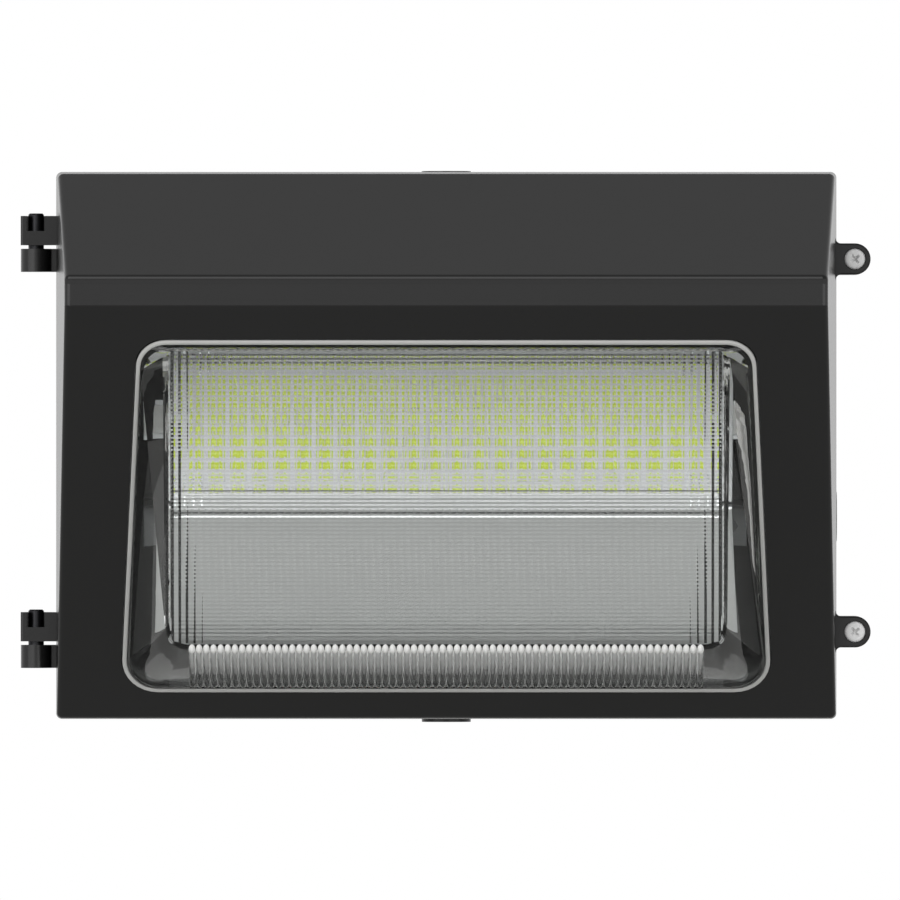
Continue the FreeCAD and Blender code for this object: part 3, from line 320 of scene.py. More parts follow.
def black_powder_coat():
    """Black polyester powder coat on die-cast aluminium: deep black, bright edges, faint orange peel."""
    peel = (bpy.context.scene.wall_pack_coat.orange_peel_mm, 0.0012)
    return patchy_material(
        "Black powder coat", 40.0, "#0d0d0d", "#111111", {"Roughness": 0.25, "IOR": 1.46}, peel
    )


def metal(name, scale, low, high, roughness, ripple=None):
    """Metal with slight clouds in its colour."""
    return patchy_material(name, scale, low, high, {"Metallic": 1.0, "Roughness": roughness}, ripple)


def zinc_plated_steel():
    """Bright zinc-plated steel screws: pale metal, slightly cloudy."""
    return metal("Zinc plated steel", 500.0, "#c9cacc", "#e0e1e3", 0.22, (0.6, 0.01))


def black_oxide_steel():
    """Blackened steel pins: dark grey metal with a soft shine."""
    return metal("Black oxide steel", 300.0, "#2a2a2c", "#38383a", 0.35)


def green_steel():
    """Green passivated steel of the ground screw: tinted metal."""
    return metal("Green passivated steel", 500.0, "#1f7a3c", "#2c8c4a", 0.3)


def solder():
    """Tin solder on the board's test points: dull grey metal."""
    return metal("Tin solder", 900.0, "#6c6c74", "#84848c", 0.4)


def rubber(name, low, high):
    """Moulded silicone or sponge: matt, with a fine grain."""
    return patchy_material(name, 200.0, low, high, {"Roughness": 0.75}, (0.5, 0.02))


def moulded_plastic(name, low, high, roughness):
    """Injection moulded plastic: even colour with a fine spark-eroded grain."""
    return patchy_material(name, 150.0, low, high, {"Roughness": roughness}, (0.4, 0.008))


def rolled_aluminium(name, low, high, roughness):
    """Rolled aluminium sheet: fine lines along the rolling direction."""
    material, tree, shader = new_material(name)
    place = add_node(tree, "ShaderNodeTexCoord").outputs["Object"]
    stretch = add_node(
        tree, "ShaderNodeMapping", None, {"Scale": (20.0, 1500.0, 1500.0)}, {"Vector": place}
    )
    lines = colour_patches(tree, stretch.outputs["Vector"], 1.0, low, high)
    tree.links.new(lines, shader.inputs["Base Color"])
    shader.inputs["Metallic"].default_value = 1.0
    shader.inputs["Roughness"].default_value = roughness
    return material


def white_solder_mask():
    """White solder mask on the LED board: smooth enamel-like paint."""
    return patchy_material("White solder mask", 80.0, "#e8e8ea", "#efeff1", {"Roughness": 0.35})


def led_phosphor():
    """Phosphor-filled silicone of the LEDs: strong yellow-green, slightly glossy."""
    return patchy_material("LED phosphor", 400.0, "#dcf02c", "#e8fa40", {"Roughness": 0.3})


def pressed_glass():
    """Clear pressed borosilicate glass: polished, faintly wavy from the mould."""
    material, tree, shader = new_material("Pressed glass")
    shader.inputs["Base Color"].default_value = linear("#fbfdfc")
    shader.inputs["Transmission Weight"].default_value = 1.0
    shader.inputs["Roughness"].default_value = 0.0
    shader.inputs["IOR"].default_value = GLASS_IOR
    place = add_node(tree, "ShaderNodeTexCoord").outputs["Object"]
    ripple_bump(tree, place, 9.0, 0.004, shader)
    return material


def bead_glass_painted_white():
    """Glass of the bead row, matt and near white, so that it scatters light: the white is painted light,
    standing in for the bright background that the round flute ends refract.
    """
    return patchy_material(
        "Bead glass painted white", 600.0, "#eeeeec", "#f8f8f6",
        {"Transmission Weight": 0.2, "Roughness": 0.3, "IOR": GLASS_IOR},
    )


# Operators

class WALLPACK_OT_stage(bpy.types.Operator):
    """Camera, floor, backdrop and soft light"""
    bl_idname = "wallpack.stage"
    bl_label = "Stage"

    def execute(self, context):
        stage = context.scene.wall_pack_stage
        camera_data = bpy.data.cameras.new("Camera")
        camera_data.lens = stage.lens_mm
        camera_data.sensor_width = SENSOR_WIDTH
        rim_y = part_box("door_gasket")[0].y
        distance = stage.view_width * stage.lens_mm / SENSOR_WIDTH
        camera_data.clip_end = distance + CLIP_MARGIN
        camera = bpy.data.objects.new("Camera", camera_data)
        context.collection.objects.link(camera)
        camera.location = (stage.view_x, rim_y - distance, stage.view_z)
        camera.rotation_euler = (math.radians(90), 0, 0)
        context.scene.camera = camera

        self.studio(context)
        self.floor(stage)
        context.scene.view_settings.view_transform = "Standard"
        return {"FINISHED"}

    def studio(self, context):
        """Even room with a key light above and a soft box on each side, before a white background.

        Camera and transmission rays see the background all round. Glossy rays see it near the horizon only.
        """
        world = bpy.data.worlds.new("Studio")
        context.scene.world = world
        world.use_nodes = True
        tree = world.node_tree
        tree.nodes.clear()
        direction = add_node(tree, "ShaderNodeTexCoord").outputs["Generated"]
        split = add_node(tree, "ShaderNodeSeparateXYZ", None, None, {"Vector": direction})
        height = map_range(tree, split.outputs["Z"], -1.0, 1.0, 0.0, 1.0)
        walls = add_node(tree, "ShaderNodeValToRGB", None, None, {"Fac": height})
        levels = [(0.0, 0.35), (0.42, 0.7), (0.5, 1.0), (0.56, 0.95), (0.76, 0.42), (1.0, 0.42)]
        while len(walls.color_ramp.elements) < len(levels):
            walls.color_ramp.elements.new(0.5)
        for element, (place, level) in zip(walls.color_ramp.elements, levels):
            element.position = place
            element.color = (level, level, level, 1.0)
        front = map_range(tree, split.outputs["Y"], -1.0, 0.4, 0.64, 1.0)
        back = map_range(tree, split.outputs["Y"], 0.8, 1.0, 1.0, 0.68)
        depth = math_node(tree, "MULTIPLY", front, back)
        room = math_node(tree, "MULTIPLY", walls.outputs["Color"], depth)

        key = soft_lamp(tree, direction, (-0.3, -0.75, 0.6), 0.82, 0.95, 2.0)
        sideways = math_node(tree, "ABSOLUTE", split.outputs["X"])
        one_side = add_node(
            tree, "ShaderNodeCombineXYZ", None, None,
            {"X": sideways, "Y": split.outputs["Y"], "Z": split.outputs["Z"]},
        )
        boxes = soft_lamp(tree, one_side.outputs["Vector"], (0.6, -0.8, 0.05), 0.87, 0.94, 1.4)
        lamps = math_node(tree, "ADD", key, boxes)

        path = add_node(tree, "ShaderNodeLightPath")
        horizon = map_range(tree, math_node(tree, "ABSOLUTE", split.outputs["Z"]), 0.12, 0.35, 1.0, 0.0)
        mirrored = math_node(tree, "MULTIPLY", path.outputs["Is Glossy Ray"], horizon)
        seen = math_node(tree, "MAXIMUM", path.outputs["Is Camera Ray"], path.outputs["Is Transmission Ray"])
        backdrop = add_node(
            tree, "ShaderNodeMix", None, {"B": WHITE_LEVEL},
            {"Factor": math_node(tree, "MAXIMUM", seen, mirrored), "A": room},
        )
        light = add_node(
            tree, "ShaderNodeBackground", None, {"Color": linear("#ffffff")},
            {"Strength": math_node(tree, "ADD", backdrop.outputs["Result"], lamps)},
        )
        add_node(tree, "ShaderNodeOutputWorld", None, None, {"Surface": light.outputs["Background"]})

    def floor(self, stage):
        """Pale floor under the light, far wider than it."""
        start_clean()
        bpy.ops.mesh.primitive_plane_add(size=FLOOR_SIZE, location=(0, 0, -stage.floor_drop))
        floor = bpy.context.object
        floor.name = "floor"
        settle(floor)
        floor.data.materials.append(
            patchy_material("Pale studio floor", 4.0, "#d2d2d0", "#d8d8d6", {"Roughness": 0.8})
        )


class WALLPACK_OT_castings(bpy.types.Operator):
    """Finish of the housing, cover, plugs, gaskets and pins"""
    bl_idname = "wallpack.castings"
    bl_label = "Castings"

    def execute(self, context):
        coat_nodes(
            black_powder_coat(), "rear_housing", "front_cover",
            "conduit_plug_top", "conduit_plug_bottom", "conduit_plug_side",
        )
        coat_nodes(black_oxide_steel(), "hinge_pins")
        coat_nodes(rubber("Black sponge", "#101010", "#181818"), "door_gasket")
        coat_nodes(rubber("White silicone", "#c8c8c4", "#d2d2ce"), "lens_gasket")
        return {"FINISHED"}


class WALLPACK_OT_hardware(bpy.types.Operator):
    """Finish of the screws, clips and rings"""
    bl_idname = "wallpack.hardware"
    bl_label = "Hardware"

    def execute(self, context):
        coat_nodes(
            zinc_plated_steel(), "lens_clips", "lens_clip_screws", "carrier_screws", "board_screws",
            "reflector_screws", "driver_screws", "ground_terminal",
        )
        coat_nodes(green_steel(), "ground_screw")
        coat_nodes(
            moulded_plastic("Black nylon", "#1c1c1c", "#242424", 0.45),
            "retaining_ring_upper", "retaining_ring_lower",
        )
        return {"FINISHED"}


def turned(profile, x, z):
    """Round solid along Y, pushed out ring by ring from a list of places and radii."""
    start_clean()
    y, radius = profile[0]
    bpy.ops.mesh.primitive_circle_add(
        vertices=40, radius=radius, fill_type="NGON", location=(x, y, z), rotation=(math.radians(90), 0, 0)
    )
    piece = bpy.context.object
    settle(piece)
    choose(piece, lambda face: True, "FACE")
    for next_y, next_radius in profile[1:]:
        bpy.ops.mesh.extrude_region_move(TRANSFORM_OT_translate={"value": (0, next_y - y, 0)})
        grow = next_radius / radius
        bpy.ops.transform.resize(value=(grow, 1, grow), center_override=(x, next_y, z))
        y, radius = next_y, next_radius
    outward_normals(piece)
    return piece


# Screw heads: flat share of the crown, play round the ring, and the point's chamfer
CROWN_FLAT = 0.62
RING_PLAY = 0.05 * MM
POINT_LENGTH = 0.8 * MM
POINT_SHARE = 0.7
# Recess arm: how far it starts in front of the head, as a share of its depth, and what is left at its floor
RECESS_LEAD = 0.2
RECESS_FLOOR = (0.35, 1, 0.6)


class WALLPACK_OT_cover_screws(bpy.types.Operator):
    """Cover screws: pan head, tapered cross recess, neck for the retaining ring"""
    bl_idname = "wallpack.cover_screws"
    bl_label = "Cover screws"

    def execute(self, context):
        size = context.scene.wall_pack_screws
        zinc = zinc_plated_steel()
        for node, ring, body in (
            ("cover_screw_upper", "retaining_ring_upper", "screw_upper"),
            ("cover_screw_lower", "retaining_ring_lower", "screw_lower"),
        ):
            low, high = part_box(node)
            ring_low, ring_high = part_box(ring)
            x, z = (low.x + high.x) / 2, (low.z + high.z) / 2
            head, shank, neck = (high.x - low.x) / 2, size.shank, size.neck
            seat = low.y + size.head_height
            neck_start, neck_end = ring_low.y - RING_PLAY, ring_high.y + RING_PLAY
            profile = [(low.y, head * CROWN_FLAT)]
            for part in (0.25, 0.5, 0.75, 1.0):
                angle = part * math.pi / 2
                profile.append((
                    low.y + size.crown * (1 - math.cos(angle)),
                    head * (CROWN_FLAT + (1 - CROWN_FLAT) * math.sin(angle)),
                ))
            profile += [
                (seat, head), (seat, shank), (neck_start, shank), (neck_start, neck),
                (neck_end, neck), (neck_end, shank), (high.y - POINT_LENGTH, shank),
                (high.y, shank * POINT_SHARE),
            ]
            screw = turned(profile, x, z)
            for quarter in (0, 90):
                cut(screw, self.arm(size, x, low.y, z, quarter + size.recess_turn))
            # Known fault: cut leaves an empty first slot that the faces keep, so this finish doesn't show
            screw.data.materials.append(zinc)
            finish_piece(screw, node.replace("cover_", "pan_head_"), body, 30)
            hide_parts(node)
        return {"FINISHED"}

    def arm(self, size, x, front, z, turn):
        """One tapering arm of the cross recess, as a cutter that starts in front of the head."""
        start_clean()
        middle = front + size.recess_depth * (1 - RECESS_LEAD) / 2
        bpy.ops.mesh.primitive_cube_add(
            size=1.0, location=(x, middle, z),
            scale=(size.recess_span, size.recess_depth * (1 + RECESS_LEAD), size.recess_width),
        )
        arm = bpy.context.object
        settle(arm)
        choose(arm, lambda vertex: vertex.co.y > middle)
        bpy.ops.transform.resize(value=RECESS_FLOOR, center_override=(x, middle, z))
        bpy.ops.mesh.select_all(action="SELECT")
        bpy.ops.transform.rotate(value=math.radians(turn), orient_axis="Y", center_override=(x, middle, z))
        start_clean()
        return arm


class WALLPACK_OT_light_engine(bpy.types.Operator):
    """Finish of the LED board, its carrier, the reflector, driver and leads"""
    bl_idname = "wallpack.light_engine"
    bl_label = "Light engine"

    def execute(self, context):
        mill = rolled_aluminium("Mill aluminium", "#b4b5b6", "#c4c5c6", 0.38)
        coat_nodes(mill, "led_carrier", "driver_case")
        coat_nodes(rolled_aluminium("Anodised reflector", "#dededf", "#e8e8e9", 0.3), "reflector")
        coat_nodes(white_solder_mask(), "led_board")
        for node, name, low, high, roughness in (
            ("board_connectors", "White nylon", "#d8d8d6", "#e2e2e0", 0.4),
            ("driver_end_caps", "Black ABS", "#141414", "#1c1c1c", 0.5),
            ("board_leads", "Red insulation", "#8c1410", "#981c16", 0.4),
            ("supply_lead_line", "Black insulation", "#141414", "#1a1a1a", 0.4),
            ("supply_lead_neutral", "White insulation", "#d8d8d4", "#e2e2de", 0.4),
            ("ground_lead", "Green insulation", "#12602a", "#187034", 0.4),
            ("wire_connectors", "Orange nylon", "#d8641a", "#e07024", 0.4),
        ):
            coat_nodes(moulded_plastic(name, low, high, roughness), node)
        return {"FINISHED"}


# LED package: rounding of its front, rim round the phosphor, and how deep the phosphor lies
PACKAGE_BEVEL = 0.12 * MM
WINDOW_RIM = 0.06 * MM
WINDOW_DEPTH = 0.05 * MM


class WALLPACK_OT_led_packages(bpy.types.Operator):
    """LED packages on the board: white body, recessed phosphor window"""
    bl_idname = "wallpack.led_packages"
    bl_label = "LED packages"

    def execute(self, context):
        leds = context.scene.wall_pack_leds
        low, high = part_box("led_rows")
        first_x = (low.x + high.x) / 2 - (leds.columns - 1) * leds.pitch_x / 2
        first_z = (low.z + high.z) / 2 - (leds.rows - 1) * leds.pitch_z / 2
        start_clean()
        bpy.ops.mesh.primitive_cube_add(
            size=1.0, location=(first_x, (low.y + high.y) / 2, first_z),
            scale=(leds.width, high.y - low.y, leds.height),
        )
        package = context.object
        settle(package)
        package.data.materials.append(moulded_plastic("White epoxy", "#e4e4e0", "#ececea", 0.4))
        package.data.materials.append(led_phosphor())
        choose(package, lambda face: face.normal.y < -0.5, "FACE")
        bpy.ops.mesh.bevel(offset=PACKAGE_BEVEL, segments=1)
        choose(package, lambda face: face.normal.y < -0.99, "FACE")
        bpy.ops.mesh.inset(thickness=WINDOW_RIM)
        bpy.ops.transform.translate(value=(0, WINDOW_DEPTH, 0))
        bpy.context.object.active_material_index = 1
        bpy.ops.object.material_slot_assign()
        start_clean()
        repeat(package, leds.columns, (leds.pitch_x, 0, 0))
        repeat(package, leds.rows, (0, 0, leds.pitch_z))
        finish_piece(package, "led_packages", "housing", 20)
        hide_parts("led_rows")
        return {"FINISHED"}


# Test points: places in a row, distances, and the size of one point
POINT_COUNT = 9
POINT_PITCH_X = 3.35 * MM
POINT_PITCH_Z = 0.9 * MM
POINT_RADIUS = 0.24 * MM
POINT_HEIGHT = 0.16 * MM
POINT_BEVEL = 0.08 * MM


class WALLPACK_OT_board_points(bpy.types.Operator):
    """Two rows of test points in the middle of the LED board"""
    bl_idname = "wallpack.board_points"
    bl_label = "Board points"

    def execute(self, context):
        low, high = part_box("led_rows")
        board_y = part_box("led_board")[0].y
        first_x = -POINT_PITCH_X * (POINT_COUNT - 1) / 2
        first_z = (low.z + high.z) / 2 - POINT_PITCH_Z / 2
        start_clean()
        bpy.ops.mesh.primitive_cylinder_add(
            vertices=16, radius=POINT_RADIUS, depth=POINT_HEIGHT, rotation=(math.radians(90), 0, 0),
            location=(first_x, board_y - POINT_HEIGHT / 2, first_z),
        )
        point = context.object
        settle(point)
        choose(point, lambda face: face.normal.y < -0.9, "FACE")
        bpy.ops.mesh.bevel(offset=POINT_BEVEL, segments=2)
        start_clean()
        repeat(point, POINT_COUNT, (POINT_PITCH_X, 0, 0))
        repeat(point, 2, (0, 0, POINT_PITCH_Z))
        point.data.materials.append(solder())
        finish_piece(point, "board_points", "housing", 40)
        return {"FINISHED"}


# The CAD lens and the face of the cover it sits in: millimetres, and panel_tilt in degrees
LENS_SIDES = {
    "face_top_z": 58.3, "face_front_y": -188.0, "face_low_z": -115.6, "face_low_y": -84.4,
    "top_z": 44.1, "bottom_z": -104.4, "top_half": 130.0, "bottom_half": 137.9,
    "top_r": 12.0, "bottom_r": 16.0, "rim": 0.8, "glass": 4.0,
    "flange": 6.0, "flange_front": -4.8, "flange_back": -9.3,
    "panel_half": 118.0, "panel_top_z": 40.5, "panel_bottom_z": -86.0, "panel_stand": 3.5,
    "panel_tilt": 12.0, "panel_top_r": 3.0, "panel_bottom_r": 9.0, "ridge": 2.6,
    "seal": 1.9, "ledge": -0.6, "edge": 1.6,
}
FLUTE_STEPS = 8
# How deep the outer and inner cutters start in the surface that they follow, and how thick they are
FLUTE_SKIN = 0.02 * MM
PRISM_SKIN = 0.01 * MM
CUTTER_SHEET = 1.5 * MM
# The inner prisms stop short of the hollow's sides. They are shallow at the bottom and full further up
PRISM_SIDE_GAP = 0.3 * MM
PRISM_END_GAP = 1.0 * MM
PRISM_LOW_SHARE = 0.3
PRISM_FULL_AT = 0.45
# Round flute ends: share of the flute pitch, height and depth, and the shift from the panel's lower edge
BEAD_SHARE = 0.98
BEAD_SIZE = (4.4 * MM, 4.6 * MM)
BEAD_SHIFT = (0.2 * MM, -0.9 * MM)
# Side walls: nothing nearer the middle or shorter than this belongs to a long inner side
SIDE_WALL_X = 0.1
SIDE_EDGE_LENGTH = 0.08
SMALLEST_CORNER = 1.0 * MM
MERGE_DISTANCE = 6e-5
SEAL_GAP = 0.03 * MM
SEAL_ROUND = 0.5 * MM


def slope_frame(origin, up):
    """Matrix of a sloping surface: X across, Y up the slope, Z out of it."""
    across = Vector((1, 0, 0))
    turn = Matrix((across, up, across.cross(up))).transposed()
    return Matrix.Translation(origin) @ turn.to_4x4()


def rounded_outline(low, high, half_low, half_high, r_low, r_high, frame_matrix, out):
    """Flat trapezoid with rounded corners, laid in a sloping frame at a height out of it."""
    start_clean()
    bpy.ops.mesh.primitive_plane_add(size=1.0, location=(0, (low + high) / 2, 0))
    outline = bpy.context.object
    outline.scale = (2 * half_low, high - low, 1)
    settle(outline)
    middle = (low + high) / 2
    choose(outline, lambda vertex: vertex.co.y > middle)
    bpy.ops.transform.resize(value=(half_high / half_low, 1, 1), center_override=(0, 0, 0))
    bpy.ops.mesh.bevel(offset=r_high, segments=8, affect="VERTICES")
    choose(outline, lambda vertex: vertex.co.y < low + (high - low) * 0.01)
    bpy.ops.mesh.bevel(offset=r_low, segments=8, affect="VERTICES")
    start_clean()
    outline.matrix_world = frame_matrix @ Matrix.Translation((0, 0, out))
    settle(outline)
    return outline


def corrugated_cutter(width, length, count, heights, frame_matrix, along_x, thickness):
    """Thick wavy sheet whose wavy side leaves ribs: heights are the steps of one rib."""
    start_clean()
    steps = len(heights)
    columns = count * steps
    bpy.ops.mesh.primitive_grid_add(
        x_subdivisions=columns if along_x else 1, y_subdivisions=1 if along_x else columns, size=1.0
    )
    sheet = bpy.context.object
    sheet.scale = (width, length, 1)
    settle(sheet)
    run = width if along_x else length
    for step in range(steps):
        if heights[step] == 0:
            continue
        choose(sheet, lambda vertex: (
            round(((vertex.co.x if along_x else vertex.co.y) / run + 0.5) * columns) % steps == step
        ))
        bpy.ops.transform.translate(value=(0, 0, heights[step]))
    choose(sheet, lambda face: True, "FACE")
    bpy.ops.mesh.extrude_region_move(TRANSFORM_OT_translate={"value": (0, 0, thickness)})
    start_clean()
    sheet.matrix_world = frame_matrix
    settle(sheet)
    outward_normals(sheet)
    return sheet


def cut(piece, cutter, operation="DIFFERENCE"):
    """Takes the cutter's shape out of a piece, or adds it, exactly, and removes the cutter."""
    boolean = piece.modifiers.new("Cut", "BOOLEAN")
    boolean.operation = operation
    boolean.solver = "EXACT"
    boolean.material_mode = "TRANSFER"
    boolean.object = cutter
    apply_modifiers(piece)
    bpy.data.objects.remove(cutter, do_unlink=True)


class WALLPACK_OT_lens(bpy.types.Operator):
    """Prismatic glass lens: flange, rim, sloping sides, fluted front and bottom, prisms inside"""
    bl_idname = "wallpack.lens"
    bl_label = "Lens"

    def push(self, piece, test, move):
        """Extrudes the faces that pass a test."""
        choose(piece, test, "FACE")
        bpy.ops.mesh.extrude_region_move(TRANSFORM_OT_translate={"value": move})

    def open_ring(self, piece, name):
        """Deletes the selected face and keeps its edge as a named ring."""
        bpy.ops.object.mode_set(mode="OBJECT")
        group = piece.vertex_groups.new(name=name)
        group.add([vertex.index for vertex in piece.data.vertices if vertex.select], 1.0, "REPLACE")
        bpy.ops.object.mode_set(mode="EDIT")
        bpy.ops.mesh.select_mode(type="FACE")
        bpy.ops.mesh.delete(type="ONLY_FACE")

    def pick_rings(self, piece, names):
        """Selects the vertices of the named rings."""
        choose(piece, lambda item: False)
        for name in names:
            piece.vertex_groups.active = piece.vertex_groups[name]
            bpy.ops.object.vertex_group_select()

    def side_prisms(self, lens, settings):
        """Splits the inner face of both side walls into fine prisms that run from the rim to the panel."""
        steps = 2 * settings.side_prisms
        for name in ("inner rim", "inner rim front"):
            group = lens.vertex_groups[name].index
            ends = []

            def in_ring(vertex):
                return abs(vertex.co.x) > SIDE_WALL_X and any(item.group == group for item in vertex.groups)

            def long_side(edge):
                first, second = (lens.data.vertices[index] for index in edge.vertices)
                rise = abs(first.co.z - second.co.z)
                long = rise > SIDE_EDGE_LENGTH and in_ring(first) and in_ring(second)
                if long:
                    ends.extend((first.co.z, second.co.z))
                return long

            choose(lens, long_side, "EDGE")
            bpy.ops.mesh.subdivide(number_cuts=steps - 1)
            low, high = min(ends), max(ends)
            for side in (-1, 1):
                choose(lens, lambda vertex: (
                    in_ring(vertex) and vertex.co.x * side > 0 and low < vertex.co.z < high
                    and round((vertex.co.z - low) / (high - low) * steps) % 2 == 1
                ))
                bpy.ops.transform.translate(value=(side * settings.prism_height, 0, 0))

    def execute(self, context):
        settings = context.scene.wall_pack_lens
        d = {key: value * MM for key, value in LENS_SIDES.items()}
        slope = math.atan2(d["face_low_y"] - d["face_front_y"], d["face_top_z"] - d["face_low_z"])
        face_up = Vector((0, -math.sin(slope), math.cos(slope)))
        face = slope_frame(Vector((0, d["face_front_y"], d["face_top_z"])), face_up)
        tilt = math.radians(LENS_SIDES["panel_tilt"])
        top_y = d["face_front_y"] + (d["face_top_z"] - d["panel_top_z"]) * math.tan(slope) - d["panel_stand"]
        panel_up = Vector((0, -math.sin(tilt), math.cos(tilt)))
        panel = slope_frame(Vector((0, top_y, d["panel_top_z"])), panel_up)
        panel_length = (d["panel_top_z"] - d["panel_bottom_z"]) / math.cos(tilt)
        top = (d["top_z"] - d["face_top_z"]) / math.cos(slope)
        bottom = (d["bottom_z"] - d["face_top_z"]) / math.cos(slope)

        def face_outline(grow, out):
            return rounded_outline(
                bottom - grow, top + grow, d["bottom_half"] + grow, d["top_half"] + grow,
                d["bottom_r"] + grow, d["top_r"] + grow, face, out,
            )

        def panel_outline(inset, deep):
            half = d["panel_half"] - inset
            bottom_r, top_r = (
                max(d[corner] - inset, SMALLEST_CORNER) for corner in ("panel_bottom_r", "panel_top_r")
            )
            return rounded_outline(
                inset - panel_length, -inset, half, half, bottom_r, top_r, panel, -deep
            )

        outwards = Vector((0, -math.cos(slope), -math.sin(slope)))
        lens = face_outline(d["flange"], d["flange_back"])
        # From the flange's back to the rim, with a ledge for the seal bead
        self.push(lens, lambda item: True, outwards * (d["flange_front"] - d["flange_back"]))
        bpy.ops.mesh.inset(thickness=d["flange"])
        bpy.ops.mesh.extrude_region_move(
            TRANSFORM_OT_translate={"value": outwards * (d["ledge"] - d["flange_front"])}
        )
        bpy.ops.mesh.inset(thickness=d["seal"])
        bpy.ops.mesh.extrude_region_move(
            TRANSFORM_OT_translate={"value": outwards * (d["rim"] - d["ledge"])}
        )
        self.open_ring(lens, "outer rim")
        # The hollow, from the flange's back to the inner rim
        choose(lens, lambda item: item.normal.dot(outwards) < -0.99 and len(item.vertices) > 4, "FACE")
        bpy.ops.mesh.inset(thickness=d["flange"] + d["glass"])
        bpy.ops.mesh.extrude_region_move(
            TRANSFORM_OT_translate={"value": outwards * (d["rim"] - d["flange_back"])}
        )
        self.open_ring(lens, "inner rim")
        # The sloping walls, outside and inside, from each rim to the front panel
        for rim, inset, deep in (("outer rim", 0.0, 0.0), ("inner rim", d["edge"], d["glass"])):
            front = panel_outline(inset, deep)
            choose(front, lambda item: True)
            self.open_ring(front, rim + " front")
            start_clean()
            front.select_set(True)
            lens.select_set(True)
            context.view_layer.objects.active = lens
            bpy.ops.object.join()
            self.pick_rings(lens, (rim, rim + " front"))
            bpy.ops.mesh.bridge_edge_loops()
            self.pick_rings(lens, (rim + " front",))
            bpy.ops.mesh.edge_face_add()
        self.pick_rings(lens, ("outer rim front",))
        bpy.ops.mesh.bevel(offset=settings.edge_round, segments=3)
        self.side_prisms(lens, settings)
        outward_normals(lens)
        lens.data.materials.clear()
        lens.data.materials.append(pressed_glass())

        arc = [
            -settings.flute_height * (2 * step / FLUTE_STEPS - 1) ** 2 - FLUTE_SKIN
            for step in range(FLUTE_STEPS)
        ]

        def cut_flutes(count, length, place):
            width = count * settings.flute_pitch
            cut(lens, corrugated_cutter(width, length - d["ridge"], count, arc, place, True, CUTTER_SHEET))

        shift = Matrix.Translation((0, d["ridge"] / 2 - panel_length / 2, 0))
        cut_flutes(int(2 * d["panel_half"] / settings.flute_pitch), panel_length, panel @ shift)
        low_edge = panel @ Vector((0, -panel_length, 0))
        rim_edge = face @ Vector((0, bottom + d["seal"], d["rim"]))
        shelf_up = (low_edge - rim_edge).normalized()
        shelf_length = (low_edge - rim_edge).length
        shelf = slope_frame((low_edge + rim_edge) / 2, shelf_up)
        shelf_flutes = int(2 * (d["panel_half"] - d["panel_bottom_r"]) / settings.flute_pitch)
        cut_flutes(shelf_flutes, shelf_length, shelf)
        prisms = int((panel_length - 2 * d["edge"] - PRISM_END_GAP) / settings.prism_pitch)
        inside = panel @ Matrix.Translation((0, -panel_length / 2, -d["glass"] + PRISM_SKIN))
        saw = []
        for prism in range(prisms):
            growth = (1 - PRISM_LOW_SHARE) * prism / (PRISM_FULL_AT * prisms)
            saw += [0.0, settings.prism_height * min(1.0, PRISM_LOW_SHARE + growth)]
        cut(lens, corrugated_cutter(
            2 * (d["panel_half"] - d["edge"] - PRISM_SIDE_GAP), prisms * settings.prism_pitch,
            1, saw, inside, False, -CUTTER_SHEET,
        ))
        cut(lens, self.beads(settings, shelf_flutes, low_edge, panel_up), "UNION")
        # Closes the slivers, under a tenth of a millimetre, that the cuts leave where two of them meet
        choose(lens, lambda item: True)
        bpy.ops.mesh.remove_doubles(threshold=MERGE_DISTANCE)
        start_clean()
        finish_piece(lens, "prismatic_lens", "door", 12)
        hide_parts("glass_lens")
        seal = face_outline(-SEAL_GAP, d["ledge"] + SEAL_GAP)
        self.seal_bead(seal, d["seal"] - 2 * SEAL_GAP, outwards * (d["rim"] - d["ledge"] - SEAL_GAP))
        return {"FINISHED"}

    def beads(self, settings, count, low_edge, up):
        """Row of round flute ends along the panel's lower edge."""
        start_clean()
        bpy.ops.mesh.primitive_uv_sphere_add(segments=12, ring_count=8, radius=0.5)
        bead = bpy.context.object
        bead.scale = (settings.flute_pitch * BEAD_SHARE, *BEAD_SIZE)
        settle(bead)
        first_x = -(count - 1) * settings.flute_pitch / 2
        bead.matrix_world = slope_frame(low_edge, up) @ Matrix.Translation((first_x, *BEAD_SHIFT))
        settle(bead)
        # The beads' near-white colour is painted light: it stands in for the bright background refracted
        # through the clear flute ends.
        bead.data.materials.append(bead_glass_painted_white())
        repeat(bead, count, (settings.flute_pitch, 0, 0))
        return bead

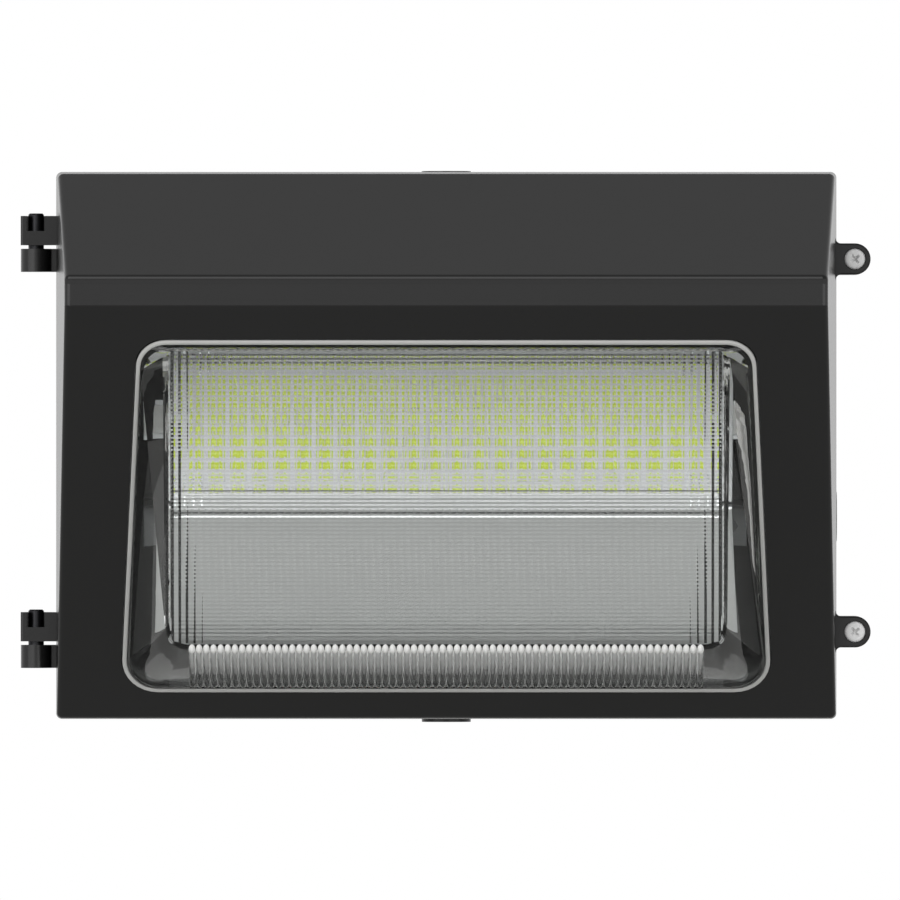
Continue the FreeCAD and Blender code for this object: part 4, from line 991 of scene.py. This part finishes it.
    def seal_bead(self, seal, width, rise):
        """Silicone bead that fills the ledge round the lens's rim."""
        choose(seal, lambda face: True, "FACE")
        bpy.ops.mesh.inset(thickness=width)
        bpy.ops.mesh.delete(type="FACE")
        self.push(seal, lambda face: True, rise)
        bpy.ops.mesh.region_to_loop()
        bpy.ops.mesh.bevel(offset=SEAL_ROUND, segments=3)
        outward_normals(seal)
        seal.data.materials.append(rubber("Clear silicone bead", "#b0b0ae", "#babab8"))
        finish_piece(seal, "lens_seal_bead", "door", 30)


class WALLPACK_PT_panel(bpy.types.Panel):
    bl_label = "Wall Pack Light"
    bl_idname = "WALLPACK_PT_panel"
    bl_space_type = "VIEW_3D"
    bl_region_type = "UI"
    bl_category = "Wall Pack"

    def draw(self, context):
        for step in STEPS:
            self.layout.operator(step.bl_idname)


STEPS = [
    WALLPACK_OT_stage,
    WALLPACK_OT_castings,
    WALLPACK_OT_hardware,
    WALLPACK_OT_cover_screws,
    WALLPACK_OT_light_engine,
    WALLPACK_OT_led_packages,
    WALLPACK_OT_board_points,
    WALLPACK_OT_lens,
]
SETTINGS = {
    "wall_pack_stage": WallPackStage,
    "wall_pack_coat": WallPackCoat,
    "wall_pack_screws": WallPackScrews,
    "wall_pack_leds": WallPackLedModule,
    "wall_pack_lens": WallPackLens,
}


def register():
    for name, settings in SETTINGS.items():
        bpy.utils.register_class(settings)
        setattr(bpy.types.Scene, name, bpy.props.PointerProperty(type=settings))
    for step in STEPS:
        bpy.utils.register_class(step)
    bpy.utils.register_class(WALLPACK_PT_panel)


def unregister():
    bpy.utils.unregister_class(WALLPACK_PT_panel)
    for step in reversed(STEPS):
        bpy.utils.unregister_class(step)
    for name, settings in SETTINGS.items():
        delattr(bpy.types.Scene, name)
        bpy.utils.unregister_class(settings)


def main():
    register()
    bpy.ops.wallpack.stage()
    bpy.ops.wallpack.castings()
    bpy.ops.wallpack.hardware()
    bpy.ops.wallpack.cover_screws()
    bpy.ops.wallpack.light_engine()
    bpy.ops.wallpack.led_packages()
    bpy.ops.wallpack.board_points()
    bpy.ops.wallpack.lens()


if __name__ == "__main__":
    main()
